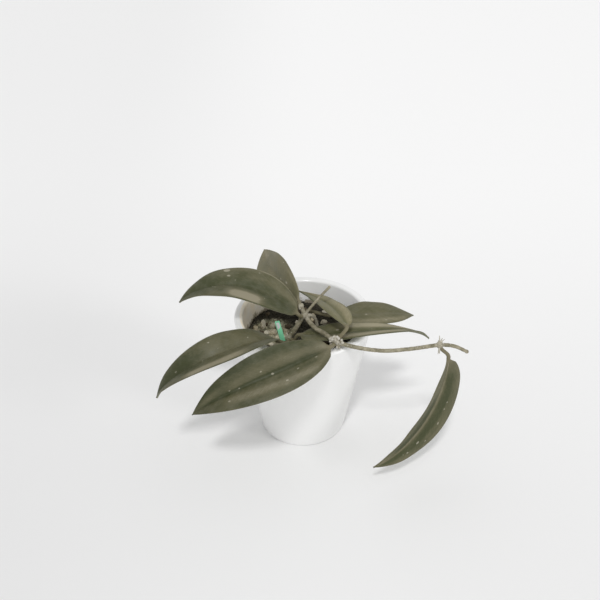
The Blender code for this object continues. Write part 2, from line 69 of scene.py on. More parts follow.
# Pot, as turned
POT_BASE_RADIUS = 0.0365
POT_WALL = 0.0066
POT_FLOOR = 0.008
FLOOR_ROUND = 0.004
LIP_CORNER = 0.0005
TURN_RADIUS = 0.01
CORNER_STEPS = 10
POLE_SIZE = 0.00001
POT_SHARP = math.radians(60)
GLAZE_SHADE = 0.97
GLAZE_ROUGHNESS = (0.27, 0.31)
SPECK_SPOT = Vector((0.0115, 0.0550, 0.1149))
SPECK_SIZE = (0.0005, 0.0012)
SPECK_STRENGTH = 0.75
SPECK_COLOUR = (0.16, 0.10, 0.06)
STAIN_LOW = 0.0005
STAIN_RISE = 0.0080
STAIN_FADE = 0.0030
STAIN_DEPTH = 0.0020
STAIN_STRENGTH = 0.9
# Painted shade: a tan tint on the left of the inner wall, standing in for the leaves' shade there
LEFT_SHADE_START = -0.026
LEFT_SHADE_FULL = -0.038
LEFT_SHADE_STRENGTH = 1.6

# Potting mix
MIX_LEVEL = 0.0945
MIX_MOUND = 0.0016
MIX_RIPPLE = 0.0007
MIX_RIPPLES_PER_METRE = 330
MIX_RIPPLE_SLANT = 90
MIX_SIDES = 128
MIX_RING_COUNT = 44
CLOD_SCALE = 260
CLOD_SLICE = 0.3
CLOD_NOISE = (0.9, 2.1, 4)
CLOD_HEIGHT = 0.0009
CLOD_SUNK = 0.0004
MIX_TONE_SCALE = 190
SOIL_SHADE = 0.55
SOIL_ROUGHNESS = (0.80, 0.98)
CRUMB_SEED = 3
CRUMB_SLOPE = 0.3
CRUMB_LIGHTNESS = (0.15, 0.80, 0.45, 1.0)
CRUMB_LEAST = (0.6, 0.6, 0.5)
CRUMB_MOST = (1.5, 1.1, 0.9)
# Crumbly front left: real pale crumbs, made paler still as painted light against the leaves' shade
CRUMBLY_SPOT = Vector((-0.027, 0.001, 0.096))
CRUMBLY_REACH = (0.013, 0.023)
CRUMBLY_SHARES = (1.0, 0.05)
CHIP_COUNT = 30
CHIP_SMALLEST = 0.0016
CHIP_LARGEST = 0.0030
CHIP_SPACING = 0.0060
CHIP_BULGE = 1.3
CHIP_FREE_RADIUS = 0.0034
CHIP_SUNK = 0.30
CHIP_PROPORTIONS = ((0.9, 1.2), (0.8, 1.1), (0.6, 0.8))
CHIP_SEED = 11
CHIP_PALE_SHARE = 0.25
CHIP_CUTS = 7
CHIP_CUT_RISES = (-30, 90)
CHIP_CUT_DEPTHS = (0.70, 0.92)
CHIP_REACH = 1.06
CHIP_ROUGH = 0.17
CHIP_SHIFT = 9
CHIP_NOISE_SCALE = 2.2
CHIP_NOISE = (0.7, 2.2, 4)
CHIP_SHARP = math.radians(38)
CHIP_SANDY = (0.80, 0.72, 0.58)
CHIP_UNEVEN = 0.35
CHIP_SHADE = (0.30, 0.27, 0.21)
PORE_COLOUR = (0.20, 0.18, 0.14)
PORE_DEPTH = 0.5
BARK_CHIP_LIGHT = 1.9
LARGE_CHIPS = (
    ((-0.0342, 0.0096), (0.0022, 0.0046, 0.0032)),
    ((-0.0261, 0.0082), (0.0026, 0.0036, 0.0028)),
    ((-0.0255, -0.0017), (0.0032, 0.0030, 0.0026)),
    ((-0.0219, -0.0101), (0.0020, 0.0036, 0.0024)),
    ((-0.0305, -0.0003), (0.0028, 0.0022, 0.0020)),
    ((-0.0146, -0.0003), (0.0020, 0.0032, 0.0022)),
    ((-0.0105, -0.0045), (0.0018, 0.0020, 0.0018)),
    ((0.0084, 0.0198), (0.0022, 0.0060, 0.0026)),
    ((0.0177, 0.0132), (0.0034, 0.0030, 0.0028)),
    ((0.0066, 0.0111), (0.0018, 0.0024, 0.0018)),
    ((-0.0405, 0.0060), (0.0022, 0.0026, 0.0018)),
)

# Plant label
LABEL_TOP = Vector((-0.0214, -0.0180, 0.1205))
LABEL_LENGTH = 0.036
LABEL_LEAN = math.radians(13)
LABEL_CORNER = 0.0009
LABEL_CORNER_STEPS = 8
LABEL_EDGE = 0.00016
LABEL_SHARP = math.radians(50)
FIELD_MARGIN = (0.0012, 0.0014)
FIELD_END = (0.0072, 0.0075)
FIELD_SLANT = 0.9
SOILED_FROM = (0.020, 0.027)
SOILED_STRENGTH = 0.6
LABEL_DUST = (0.50, 0.52, 0.46)
LABEL_SOIL = (0.06, 0.07, 0.04)
LABEL_ROUGHNESS = (0.35, 0.60)

# Vine
LOW_NODE = Vector((-0.0120, -0.0142, 0.1008))
MIDDLE_NODE = Vector((0.0010, -0.0140, 0.1235))
CROWN_NODE = Vector((-0.0020, -0.0125, 0.1320))
RIM_NODE = Vector((0.0259, -0.0472, 0.1215))
FAR_NODE = Vector((0.1060, -0.0500, 0.1208))
STEM_FOOT = Vector((-0.0145, -0.0130, 0.0660))
STEM_SURFACE = Vector((-0.0145, -0.0130, 0.0970))
VINE_ROUTE = (
    (STEM_FOOT, 0.0021),
    (STEM_SURFACE, 0.0021),
    (LOW_NODE, 0.0021),
    (Vector((-0.0056, -0.0143, 0.1120)), 0.0020),
    (MIDDLE_NODE, 0.0020),
    (Vector((0.0048, -0.0178, 0.1196)), 0.0018),
    (Vector((0.0100, -0.0258, 0.1190)), 0.0018),
    (Vector((0.0172, -0.0356, 0.1207)), 0.0018),
    (RIM_NODE, 0.0018),
    (Vector((0.0440, -0.0520, 0.1193)), 0.0016),
    (Vector((0.0630, -0.0550, 0.1190)), 0.0016),
    (Vector((0.0850, -0.0530, 0.1195)), 0.0016),
    (FAR_NODE, 0.0016),
    (Vector((0.1180, -0.0500, 0.1195)), 0.0015),
    (Vector((0.1280, -0.0500, 0.1144)), 0.0014),
)
VINE_STEPS = 12
VINE_SIDES = 20
VINE_SMOOTHING = 3
VINE_ROUGHNESS = (0.00016, 420)
CUT_END_WIDTH = 1.15
CROWN_STEM_RADIUS = 0.0018
KNOBS = (
    (LOW_NODE, 0.0027),
    (MIDDLE_NODE, 0.0031),
    (CROWN_NODE, 0.0024),
    (RIM_NODE, 0.0031),
    (FAR_NODE, 0.0027),
)
NODE_REACH = 0.0030
NODE_PALENESS = 0.30
BARK_ROUGHNESS = (0.52, 0.85)
BARK_NOISE = (0.8, 2.0, 3)
BARK_FLECK_STRENGTH = 0.55
BARK_FLECK_HEIGHT = 0.35
# Aerial roots: node, heading and rise of the bunch, how many, their length and radius
ROOT_BUNCHES = (
    (RIM_NODE, 305, 35, 8, 0.0060, 0.0010),
    (FAR_NODE, 75, 50, 3, 0.0080, 0.0006),
    (FAR_NODE, 240, -30, 2, 0.0078, 0.0006),
    (LOW_NODE, 120, 30, 2, 0.0070, 0.0008),
)
ROOT_SPREAD = 45
ROOT_TILT = 25
ROOT_LENGTHS = (0.75, 1.1)
ROOT_BEND = 0.6
ROOT_BEND_WIDTH = 0.85
ROOT_TIP_WIDTH = 0.55
ROOT_STALK_ANGLE = math.radians(52)
ROOT_FOOT = 0.0008
ROOT_SAG = 0.12
ROOT_SEED = 5
ROOT_STEPS = 8
ROOT_SIDES = 12
ROOT_PALENESS = 0.55
ROOT_PALE_FROM = 6
ROOT_SKIN = 0.00035
ROOT_SKIN_FADE = 0.0003
# Nubs of old root on a node: headings, rises, how many, then how far they stand off its knob, their
# radius and their paleness, each from the least to the most
NUB_CLUSTERS = (
    (RIM_NODE, (-215, 35), (-35, 80), 34, (0.0004, 0.0034), (0.0008, 0.0014), (0.10, 0.90)),
    (CROWN_NODE, (200, 330), (-50, 10), 3, (0.0002, 0.0008), (0.0005, 0.0008), (0.00, 0.20)),
    (FAR_NODE, (-80, 100), (-40, 60), 4, (0.0002, 0.0016), (0.0005, 0.0009), (0.20, 0.70)),
)
NUB_NECK = 0.7
NUB_NECK_SIDES = 8
NUB_STALK_ANGLE = math.radians(35)
NUB_SEED = 8
OLD_ROOT = (
    (Vector((0.0015, -0.0142, 0.1234)), 0.0014),
    (Vector((0.0062, -0.0136, 0.1232)), 0.0015),
    (Vector((0.0096, -0.0126, 0.1190)), 0.0014),
    (Vector((0.0112, -0.0122, 0.1115)), 0.0013),
    (Vector((0.0116, -0.0120, 0.0984)), 0.0012),
)
OLD_ROOT_SIDES = 16
OLD_ROOT_PALENESS = 0.20
OLD_ROOT_PALE_FROM = 4

# Side shoot
SHOOT_LEAVE = Vector((0.50, 0.50, 0.70)).normalized()
SHOOT_TIP = Vector((0.0208, -0.0060, 0.1457))
SHOOT_SUNK = 0.0012
SHOOT_BOW = 0.0006
SHOOT_RADII = (0.0012, 0.0010, 0.0011)
SHOOT_STEPS = 16
SHOOT_SIDES = 18
SHOOT_SCAR_STEP = 12
SHOOT_SCAR_WIDTH = 1.18
SHOOT_TIP_WIDTH = 1.05
SHOOT_DETAIL = 0.8
SHOOT_ROUGHNESS = (0.00010, 700)

# Leaves: the same form values as the solids they stand for
LEAVES = {
    "leaf_upper_left": dict(
        node=MIDDLE_NODE, leave=(-0.80, -0.60, 0.10), base=(-0.0042, -0.0186, 0.1276),
        heading=166, turn=14, rise=40, arch=-53, droop=-35, length=0.108, width=0.0369,
        roll=11, twist=-2, channel=13, shoulder=0.64, taper=0.93,
    ),
    "leaf_rear": dict(
        node=CROWN_NODE, leave=(-0.50, 0.85, 0.10), base=(-0.0036, -0.0078, 0.1324),
        heading=122, turn=-28, rise=16, arch=-97, droop=82, length=0.1034, width=0.0306,
        roll=48, twist=-2, channel=12, shoulder=0.70, taper=0.80,
    ),
    "leaf_lower_left": dict(
        node=LOW_NODE, leave=(-0.14, -0.98, -0.10), base=(-0.0213, -0.0289, 0.1091),
        heading=240, turn=-83, rise=39, arch=-109, droop=4, length=0.131, width=0.0310,
        roll=-7, twist=32, channel=23, shoulder=0.71, taper=0.95,
    ),
    "leaf_front": dict(
        node=RIM_NODE, leave=(-0.55, -0.80, 0.00), base=(0.0218, -0.0519, 0.1209),
        heading=217, turn=-41, rise=-4, arch=-13, droop=-27, length=0.125, width=0.0383,
        roll=35, twist=5, channel=19, shoulder=0.70, taper=0.97,
    ),
    "leaf_inner": dict(
        node=RIM_NODE, leave=(0.50, 0.40, 0.80), base=(0.0336, -0.0416, 0.1322),
        heading=103, turn=29, rise=0, arch=-38, droop=26, length=0.083, width=0.022,
        roll=-17, twist=13, channel=8, shoulder=0.61, taper=1.13,
    ),
    "leaf_upper_right": dict(
        node=MIDDLE_NODE, leave=(0.17, 0.98, 0.00), base=(0.0244, -0.0054, 0.1171),
        heading=-6, turn=41, rise=9, arch=-26, droop=-17, length=0.075, width=0.0286,
        roll=-7, twist=-3, channel=0, shoulder=0.74, taper=1.01,
    ),
    "leaf_lower_right": dict(
        node=LOW_NODE, leave=(0.80, -0.55, -0.20), base=(-0.0034, -0.0194, 0.1077),
        heading=-28, turn=71, rise=17, arch=-2, droop=-67, length=0.124, width=0.027,
        roll=-3, twist=28, channel=10, shoulder=0.58, taper=1.27,
    ),
    "leaf_hanging": dict(
        node=FAR_NODE, leave=(0.42, 0.05, -0.90), base=(0.1147, -0.0481, 0.1065),
        heading=218, turn=-9, rise=-88, arch=56, droop=28, length=0.119, width=0.0371,
        roll=98, twist=-14, channel=19, shoulder=0.65, taper=1.02,
    ),
}
# Each leaf's skin. Lift and warmth scale its colours; the lift is partly the leaf's own tone and partly
# painted light that brightens leaves lying in shade. Bands give the share of the length where they start
# and end, their place across at both, half width across and strength, lighter above 0: most are painted
# sheen and painted shade, such as pale strips on lit halves and dark lines along shaded margins, a few
# the leaf's own tone. Scars give a share of the length, a place across and a radius.
SKINS = {
    "leaf_upper_left": dict(
        lift=1.10, warmth=(1.0, 1.0, 0.98),
        tone_and_light_bands=(
            (0.31, 0.55, -0.72, -0.62, 0.40, 0.92),
            (0.03, 0.30, -0.50, -0.50, 0.55, -0.20),
            (0.10, 0.85, -0.05, 0.25, 0.50, -0.16),
            (0.35, 0.62, 0.95, 0.95, 0.25, 0.20),
            (0.03, 0.28, 0.60, 0.60, 0.35, 0.22),
            (0.03, 0.38, 0.98, 0.98, 0.07, 0.50),
            (0.10, 0.52, -1.00, -1.00, 0.10, -0.70),
            (0.70, 1.00, 0.00, 0.00, 1.30, -0.16),
        ),
        scars=(
            (0.60, 0.83, 0.0021), (0.58, 0.48, 0.0012), (0.69, -0.08, 0.0007), (0.67, -0.20, 0.0007),
            (0.53, 0.25, 0.0006), (0.38, 0.83, 0.0006),
        ),
    ),
    "leaf_rear": dict(
        lift=1.24, warmth=(1.02, 1.0, 0.93),
        tone_and_light_bands=(
            (0.00, 1.00, 0.00, 0.00, 1.60, 0.14),
            (0.78, 1.00, 0.20, 0.20, 1.30, 0.20),
            (0.05, 0.75, 0.90, 0.90, 0.30, 0.18),
        ),
        scars=((0.80, 0.43, 0.0009), (0.32, 0.08, 0.0010), (0.22, 0.20, 0.0013), (0.40, 0.85, 0.0008)),
    ),
    "leaf_lower_left": dict(
        lift=1.0, warmth=(1.0, 1.0, 0.94),
        tone_and_light_bands=(
            (0.34, 0.68, -0.72, -0.80, 0.34, 0.62),
            (0.00, 0.54, 0.20, 0.20, 1.10, 0.12),
            (0.25, 0.72, -1.01, -1.01, 0.09, -0.75),
            (0.60, 1.00, 0.30, 0.10, 1.00, -0.24),
        ),
        scars=(
            (0.50, 0.69, 0.0008), (0.26, 0.34, 0.0007), (0.46, 0.25, 0.0006), (0.57, 0.00, 0.0005),
            (0.75, 0.20, 0.0008), (0.78, -0.08, 0.0006),
        ),
    ),
    "leaf_front": dict(
        lift=0.94, warmth=(0.99, 1.0, 0.95),
        tone_and_light_bands=(
            (0.13, 0.70, 0.40, 0.22, 0.26, 0.25),
            (0.11, 0.74, -0.64, -0.40, 0.30, 0.40),
            (0.78, 0.88, 0.35, 0.35, 0.25, 0.22),
            (0.06, 0.90, 0.00, 0.00, 0.16, -0.26),
            (0.20, 1.00, 0.90, 0.90, 0.40, -0.20),
            (0.00, 0.10, 0.00, 0.00, 1.30, 0.44),
        ),
        scars=(
            (0.42, 0.00, 0.0011), (0.36, -0.52, 0.0010), (0.64, 0.00, 0.0007), (0.72, -0.45, 0.0009),
            (0.70, 0.10, 0.0006), (0.48, 0.25, 0.0008), (0.13, -0.16, 0.0008), (0.27, -0.25, 0.0008),
        ),
    ),
    "leaf_inner": dict(
        lift=1.64, warmth=(1.03, 1.0, 0.92),
        tone_and_light_bands=(
            (0.05, 0.95, 0.60, 0.45, 0.55, 0.36),
            (0.05, 0.75, -0.60, -0.60, 0.50, 0.08),
            (0.50, 0.95, -1.00, -1.00, 0.20, -0.80),
        ),
        scars=((0.05, -0.08, 0.0010),),
    ),
    "leaf_upper_right": dict(
        lift=1.15, warmth=(1.00, 1.0, 0.95),
        tone_and_light_bands=(
            (0.10, 0.85, 0.75, 0.70, 0.35, 0.30),
            (0.00, 1.00, 0.00, 0.00, 1.60, 0.10),
            (0.25, 0.95, -0.95, -0.95, 0.20, 0.18),
        ),
        scars=((0.36, 0.14, 0.0010), (0.55, 0.72, 0.0008)),
    ),
    "leaf_lower_right": dict(
        lift=1.34, warmth=(1.00, 1.0, 0.95),
        tone_and_light_bands=(
            (0.25, 0.72, 0.62, 0.62, 0.42, 0.52),
            (0.28, 1.00, -0.62, -0.55, 0.45, 0.62),
            (0.22, 0.75, 0.05, 0.05, 0.20, -0.12),
            (0.20, 0.78, 1.00, 1.00, 0.10, -0.80),
        ),
        scars=((0.27, -0.25, 0.0012),),
    ),
    "leaf_hanging": dict(
        lift=1.12, warmth=(1.0, 1.0, 0.98),
        tone_and_light_bands=(
            (0.00, 1.00, 0.00, 0.00, 0.14, 0.40),
            (0.28, 0.82, 0.45, 0.45, 0.38, -0.24),
            (0.15, 0.95, -0.32, -0.32, 0.30, -0.22),
            (0.12, 0.36, 0.50, 0.60, 0.50, 0.20),
            (0.80, 0.98, 0.50, 0.50, 0.50, 0.32),
            (0.05, 0.95, -0.90, -0.90, 0.25, 0.14),
            (0.00, 0.10, 0.00, 0.00, 1.30, 0.20),
        ),
        scars=(
            (0.34, -0.52, 0.0007), (0.39, -0.52, 0.0008), (0.49, -0.61, 0.0010), (0.62, -0.69, 0.0008),
            (0.66, -0.43, 0.0012), (0.75, -0.52, 0.0009), (0.90, -0.97, 0.0008),
        ),
    ),
}
BAND_FADE = 0.06
BAND_CORE = 0.2
SCAR_SIZE = 0.78
SCAR_WOBBLE = 0.0012
SCAR_WOBBLE_SCALE = 900.0
SCAR_EDGE = 0.0004
SCAR_STRETCH = (0.6, 1.0, 1.0)
SCAR_STRENGTH = 0.60
FLECK_STRENGTH = 0.35
SKIN_STRETCH = (0.35, 1.0, 1.0)
SKIN_TONE = 0.14
SKIN_TONE_RANGE = 0.30
SKIN_DUST = (0.30, 0.29, 0.23)
SKIN_ROUGHNESS = (0.44, 0.55)
PALE_ROUGHNESS = 0.25
MARGIN_REACH = (0.965, 0.998)
MARGIN_STRENGTH = 0.45
MARGIN_COLOUR = (0.24, 0.22, 0.15)
STALK_COLOUR_REACH = 0.06
STALK_COLOUR_STRENGTH = 0.85
VEIN_SLANT = 1.5
VEIN_SPACING = 0.0058
VEIN_WARP = 0.004
VEIN_WARP_SCALE = 120.0
VEIN_TONE = 0.06
VEIN_HEIGHT = 0.10
VEIN_CREST = (0.86, 1.0)
STALK_RADIUS = 0.0016
STALK_WAIST = 0.10
STALK_PULL = 0.35
STALK_STATIONS = 14
STALK_STEP = 0.0008
STALK_SUNK = 0.0012
STALK_MARK = (-0.01, 0.5, 1.0)
BLADE_STATIONS = 110
STATION_SKIP = 0.06
BLADE_ACROSS = 31
MARGIN_CROWDING = 0.28
BLADE_CROWN = 0.16
BLADE_JOIN = 0.05
BLADE_PHASE = 1.7
TIP_FADE = 6
TIP_HALF_WIDTH = 0.0004
WAVES = 17
WAVE_DRIFT = 9
WAVE_DRIFT_SIZE = 0.6
WAVE_SIDE_SHIFT = 2.1
MARGIN_POWER = 14
RIB_WIDTH = 0.0011
UNDER_RIB = 0.6

# Stage, with the camera from the ellipses of the pot's rim and base in the photograph
FLOOR_HALF = 3.0
# Painted light on the floor: darker at the left and paler at the back, as the light falls off
FLOOR_SHADED = 0.905
FLOOR_LIT = 1.09
FLOOR_ACROSS = (-0.30, 0.05, 0.0, 0.45)
FLOOR_ALONG = (-0.2, 0.5, 0.0, 0.55)
FLOOR_ROUGHNESS = (0.50, 0.60)
# Heading, rise and spread of each light, in degrees
KEY_LIGHT = (-97, 58, 7)
SIDE_LIGHT = (-30, 22, 14)
CAMERA_PLACE = Vector((-0.0028, -0.608, 0.549))
CAMERA_PITCH = math.radians(34.64)
CAMERA_LENS = 54.0
SENSOR = 36.0


# Settings


def colour_property(name, description, default):
    return FloatVectorProperty(
        name=name, description=description, default=default, size=3, min=0.0, max=1.0, subtype="COLOR"
    )


def length_property(name, description, default):
    return FloatProperty(name=name, description=description, default=default, min=0.0, unit="LENGTH")


class HoyaPotSettings(bpy.types.PropertyGroup):
    """Sizes and glaze of the pot."""

    rim_radius: length_property("Rim Radius", "Outer radius at the rim", POT_HIGH.x)
    height: length_property("Height", "Height of the pot", POT_HIGH.z)
    lip_round: length_property("Lip Rounding", "Radius of the rounded lip", 0.0026)
    foot_round: length_property("Foot Rounding", "Radius of the rounded foot", 0.0016)
    sides: IntProperty(name="Sides", description="Faces round the pot", default=144, min=24)
    glaze: colour_property("Glaze", "Colour of the white glaze", (0.94, 0.94, 0.935))
    stain: colour_property("Stain", "Colour of the stain inside, above the mix", (0.26, 0.22, 0.15))
    # painted shade: the tan tint on the left of the inner wall stands in for the leaves' shade
    film: colour_property("Film", "Colour of the film on the left of the inner wall", (0.90, 0.80, 0.62))


class HoyaMixSettings(bpy.types.PropertyGroup):
    """Soil, crumbs and pale chips."""

    soil: colour_property("Soil", "Colour of the dark mix", (0.032, 0.027, 0.018))
    # lifted as painted light against the leaves' shade over the crumbly spot
    crumb: colour_property("Crumb", "Colour of the lighter crumbs", (0.66, 0.63, 0.46))
    chip: colour_property("Chip", "Colour of the pale chips", (0.84, 0.81, 0.70))
    bark: colour_property("Bark Chip", "Colour of the dark chips", (0.062, 0.048, 0.030))
    crumb_density: FloatProperty(
        name="Crumb Density", description="Crumbs to the square metre", default=330000.0, min=0.0
    )
    crumb_smallest: length_property("Smallest Crumb", "Radius of the smallest crumb", 0.00035)
    crumb_largest: length_property("Largest Crumb", "Radius of the largest crumb", 0.0013)


class HoyaLabelSettings(bpy.types.PropertyGroup):
    """The plastic strip."""

    width: length_property("Width", "Width of the strip", 0.0040)
    thickness: length_property("Thickness", "Thickness of the strip", 0.0008)
    mint: colour_property("Mint", "Colour of the strip", (0.330, 0.980, 0.600))
    white: colour_property("White", "Colour of its top field", (0.88, 0.89, 0.88))


class HoyaVineSettings(bpy.types.PropertyGroup):
    """Vine, shoot and aerial roots."""

    voxel: length_property("Skin Detail", "Edge of the faces of the vine's skin", 0.00030)
    bark: colour_property("Bark", "Darker colour of the stem", (0.175, 0.158, 0.098))
    bark_light: colour_property("Light Bark", "Lighter colour of the stem", (0.375, 0.340, 0.245))
    root: colour_property("Root", "Colour of the aerial roots", (0.68, 0.65, 0.58))


class HoyaLeafSettings(bpy.types.PropertyGroup):
    """Blades and their skin."""

    crest: length_property("Midrib Thickness", "Thickness of a blade at its midrib", 0.0016)
    edge: length_property("Margin Thickness", "Thickness of a blade near its margin", 0.0008)
    groove: length_property("Midrib Groove", "Depth of the groove along the midrib", 0.00035)
    wave: length_property("Margin Wave", "Height of the gentle waves of the margin", 0.00035)
    dark: colour_property("Dark", "Darkest colour of the skin", (0.046, 0.052, 0.019))
    light: colour_property("Light", "Lighter colour of the skin", (0.126, 0.117, 0.067))
    # the palest colour, reached through the bands, is mostly painted sheen
    sheen: colour_property("Sheen", "Palest colour of the skin", (0.250, 0.225, 0.158))
    under: colour_property("Underside", "Colour of the underside", (0.185, 0.190, 0.115))
    fleck: colour_property("Fleck", "Colour of the small pale flecks", (0.46, 0.43, 0.34))
    stalk: colour_property("Stalk", "Colour of the leaf stalks", (0.205, 0.180, 0.112))


class HoyaStageSettings(bpy.types.PropertyGroup):
    """Floor and light."""

    floor: colour_property("Floor", "Colour of the floor", (0.90, 0.90, 0.90))
    key: FloatProperty(name="Key Light", description="Strength of the light from the front", default=1.0)
    fill: FloatProperty(name="Side Light", description="Strength of the light from the right", default=0.48)
    sky: FloatProperty(name="Even Light", description="Strength of the even light", default=0.635, min=0.0)


# Node helpers


def add_node(tree, kind, inputs=None, **settings):
    """A node with its settings and inputs; a Value or a socket is linked, anything else is set."""
    node = tree.nodes.new(kind)
    for name, setting in settings.items():
        setattr(node, name, setting)
    for name, given in (inputs or {}).items():
        given = getattr(given, "socket", given)
        socket = node.inputs[name]
        if isinstance(given, bpy.types.NodeSocket):
            tree.links.new(given, socket)
        else:
            socket.default_value = (*given, 1.0) if socket.type == "RGBA" else given
    return node


def output_of(tree, kind, inputs=None, output=0, **settings):
    """One output of a new node, as a Value."""
    return Value(add_node(tree, kind, inputs, **settings).outputs[output])


def feed(node, name, value):
    """Links a value to a node's input."""
    node.id_data.links.new(value.socket, node.inputs[name])


class Value:
    """A socket of a node tree to reckon with: each step adds the node that does it."""

    def __init__(self, socket):
        self.socket = socket
        self.tree = socket.id_data

    def maths(self, operation, other=0.0, clamp=False):
        inputs = {0: self, 1: other}
        return output_of(self.tree, "ShaderNodeMath", inputs, operation=operation, use_clamp=clamp)

    def __add__(self, other):
        return self.maths("ADD", other)

    def __sub__(self, other):
        return self.maths("SUBTRACT", other)

    def __rsub__(self, other):
        return output_of(self.tree, "ShaderNodeMath", {0: other, 1: self}, operation="SUBTRACT")

    def __mul__(self, other):
        return self.maths("MULTIPLY", other)

    def __abs__(self):
        return self.maths("ABSOLUTE")

    def __lt__(self, other):
        return self.maths("LESS_THAN", other)

    def __gt__(self, other):
        return self.maths("GREATER_THAN", other)

    def clamped_times(self, other):
        return self.maths("MULTIPLY", other, clamp=True)

    def ramp(self, low, high, start=0.0, end=1.0):
        """This value mapped smoothly from low..high to start..end."""
        inputs = {"Value": self, "From Min": low, "From Max": high, "To Min": start, "To Max": end}
        return output_of(self.tree, "ShaderNodeMapRange", inputs, interpolation_type="SMOOTHSTEP")

    def blend(self, first, second):
        """The first colour where this value is 0, the second where it is 1."""
        return output_of(self.tree, "ShaderNodeMix", {0: self, 6: first, 7: second}, 2, data_type="RGBA")

    def noise(self, scale, detail=2.0):
        """Cloudy noise at this place."""
        return output_of(self.tree, "ShaderNodeTexNoise", {"Vector": self, "Scale": scale, "Detail": detail})

    def vector(self, operation, other=(0.0, 0.0, 0.0), output="Vector"):
        return output_of(self.tree, "ShaderNodeVectorMath", {0: self, 1: other}, output, operation=operation)

    def length(self):
        return self.vector("LENGTH", output="Value")

    def distance(self, spot):
        return self.vector("DISTANCE", spot, output="Value")

    def parts(self):
        """The three numbers of a vector."""
        return [Value(part) for part in add_node(self.tree, "ShaderNodeSeparateXYZ", {0: self}).outputs]


def new_group(name, kind, inputs, output_kind, *outputs):
    """A node group, its inputs by name and its output node; an input has a kind or a default number."""
    tree = bpy.data.node_groups.new(name, kind)
    for label, default in inputs.items():
        socket_kind = {float: "Float", int: "Int", str: default}[type(default)]
        socket = tree.interface.new_socket(label, in_out="INPUT", socket_type="NodeSocket" + socket_kind)
        if not isinstance(default, str):
            socket.default_value = default
    for label in outputs:
        tree.interface.new_socket(label, in_out="OUTPUT", socket_type="NodeSocket" + output_kind)
    given = {socket.name: Value(socket) for socket in tree.nodes.new("NodeGroupInput").outputs}
    return tree, given, tree.nodes.new("NodeGroupOutput")


def make_mottle(name):
    """Soft cloudy patches with a finer grain in them, and a height for the bump."""
    inputs = {"Vector": "Vector", "Scale": 100.0, "Fineness": 8.0, "Contrast": 1.0}
    tree, given, out = new_group(name, "ShaderNodeTree", inputs, "Float", "Patches", "Height")
    wide = given["Vector"].noise(given["Scale"], 3.0)
    fine = given["Vector"].noise(given["Scale"] * given["Fineness"])
    height = wide * 0.7 + fine * 0.3
    spread = (height - 0.5) * given["Contrast"]
    feed(out, "Patches", (spread * 2.2).maths("ADD", 0.5, clamp=True))
    feed(out, "Height", height)
    return tree


def make_flecks(name):
    """Small spots, of which only a share is kept, with soft uneven rims."""
    inputs = {"Vector": "Vector", "Scale": 300.0, "Size": 0.25, "Share": 0.1}
    tree, given, out = new_group(name, "ShaderNodeTree", inputs, "Float", "Spots")
    place, scale = given["Vector"], given["Scale"]
    wobble = place.noise(scale * 3.0)
    cells = add_node(tree, "ShaderNodeTexVoronoi", {"Vector": place, "Scale": scale}).outputs
    drawn = add_node(tree, "ShaderNodeSeparateColor", {"Color": cells["Color"]}).outputs
    chosen = Value(drawn["Red"]) < given["Share"]
    size = given["Size"] * (Value(drawn["Green"]) + 0.35)
    reach = Value(cells["Distance"]) + wobble * 0.16
    feed(out, "Spots", (size + 0.08 - reach).clamped_times(14.0) * chosen)
    return tree


def make_dust(name):
    """A thin dusty film on what faces up, thicker in patches."""
    inputs = {"Vector": "Vector", "Scale": 60.0, "Amount": 0.3}
    tree, given, out = new_group(name, "ShaderNodeTree", inputs, "Float", "Film")
    up = output_of(tree, "ShaderNodeNewGeometry", output="Normal").parts()[2]
    patches = given["Vector"].noise(given["Scale"], 4.0).ramp(0.35, 0.75)
    feed(out, "Film", (up.ramp(0.1, 0.9) * patches).clamped_times(given["Amount"]))
    return tree


def place_group(place, maker, name, **inputs):
    """Outputs of a shared shader group at a place; the group is made the first time it is asked for."""
    group = bpy.data.node_groups.get(name) or maker(name)
    node = add_node(place.tree, "ShaderNodeGroup", {"Vector": place, **inputs}, node_tree=group)
    return [Value(output) for output in node.outputs]


def mottle(place, scale, fineness, contrast):
    return place_group(place, make_mottle, "Mottle", Scale=scale, Fineness=fineness, Contrast=contrast)


def pale_flecks(place, scale, size, share):
    return place_group(place, make_flecks, "Pale flecks", Scale=scale, Size=size, Share=share)[0]


def dusty_film(place, scale, amount):
    return place_group(place, make_dust, "Dusty film", Scale=scale, Amount=amount)[0]


def new_material(name, **constants):
    """An empty Principled material, its tree and shader; constants are set on the shader's sockets."""
    made = bpy.data.materials.new(name)
    made.use_nodes = True
    shader = made.node_tree.nodes["Principled BSDF"]
    for socket_name, constant in constants.items():
        shader.inputs[socket_name.replace("_", " ")].default_value = constant
    return made, made.node_tree, shader


def object_place(tree):
    return output_of(tree, "ShaderNodeTexCoord", output="Object")


def attribute(tree, name, output="Vector"):
    settings = {"attribute_name": name, "attribute_type": "GEOMETRY"}
    return output_of(tree, "ShaderNodeAttribute", output=output, **settings)


def times(colour, share):
    return tuple(share * part for part in colour)


def paint(shader, colour, patches, roughness):
    """Feeds the colour, and a roughness that follows the patches from the first to the second."""
    feed(shader, "Base Color", colour)
    feed(shader, "Roughness", patches.ramp(0.0, 1.0, *roughness))


def bump(shader, height, distance, strength, below=None):
    """Feeds a bump to the shader's Normal, on top of another bump if one is given."""
    inputs = {"Height": height, "Distance": distance, "Strength": strength}
    if below is not None:
        inputs["Normal"] = below
    made = output_of(shader.id_data, "ShaderNodeBump", inputs)
    feed(shader, "Normal", made)
    return made


# Materials


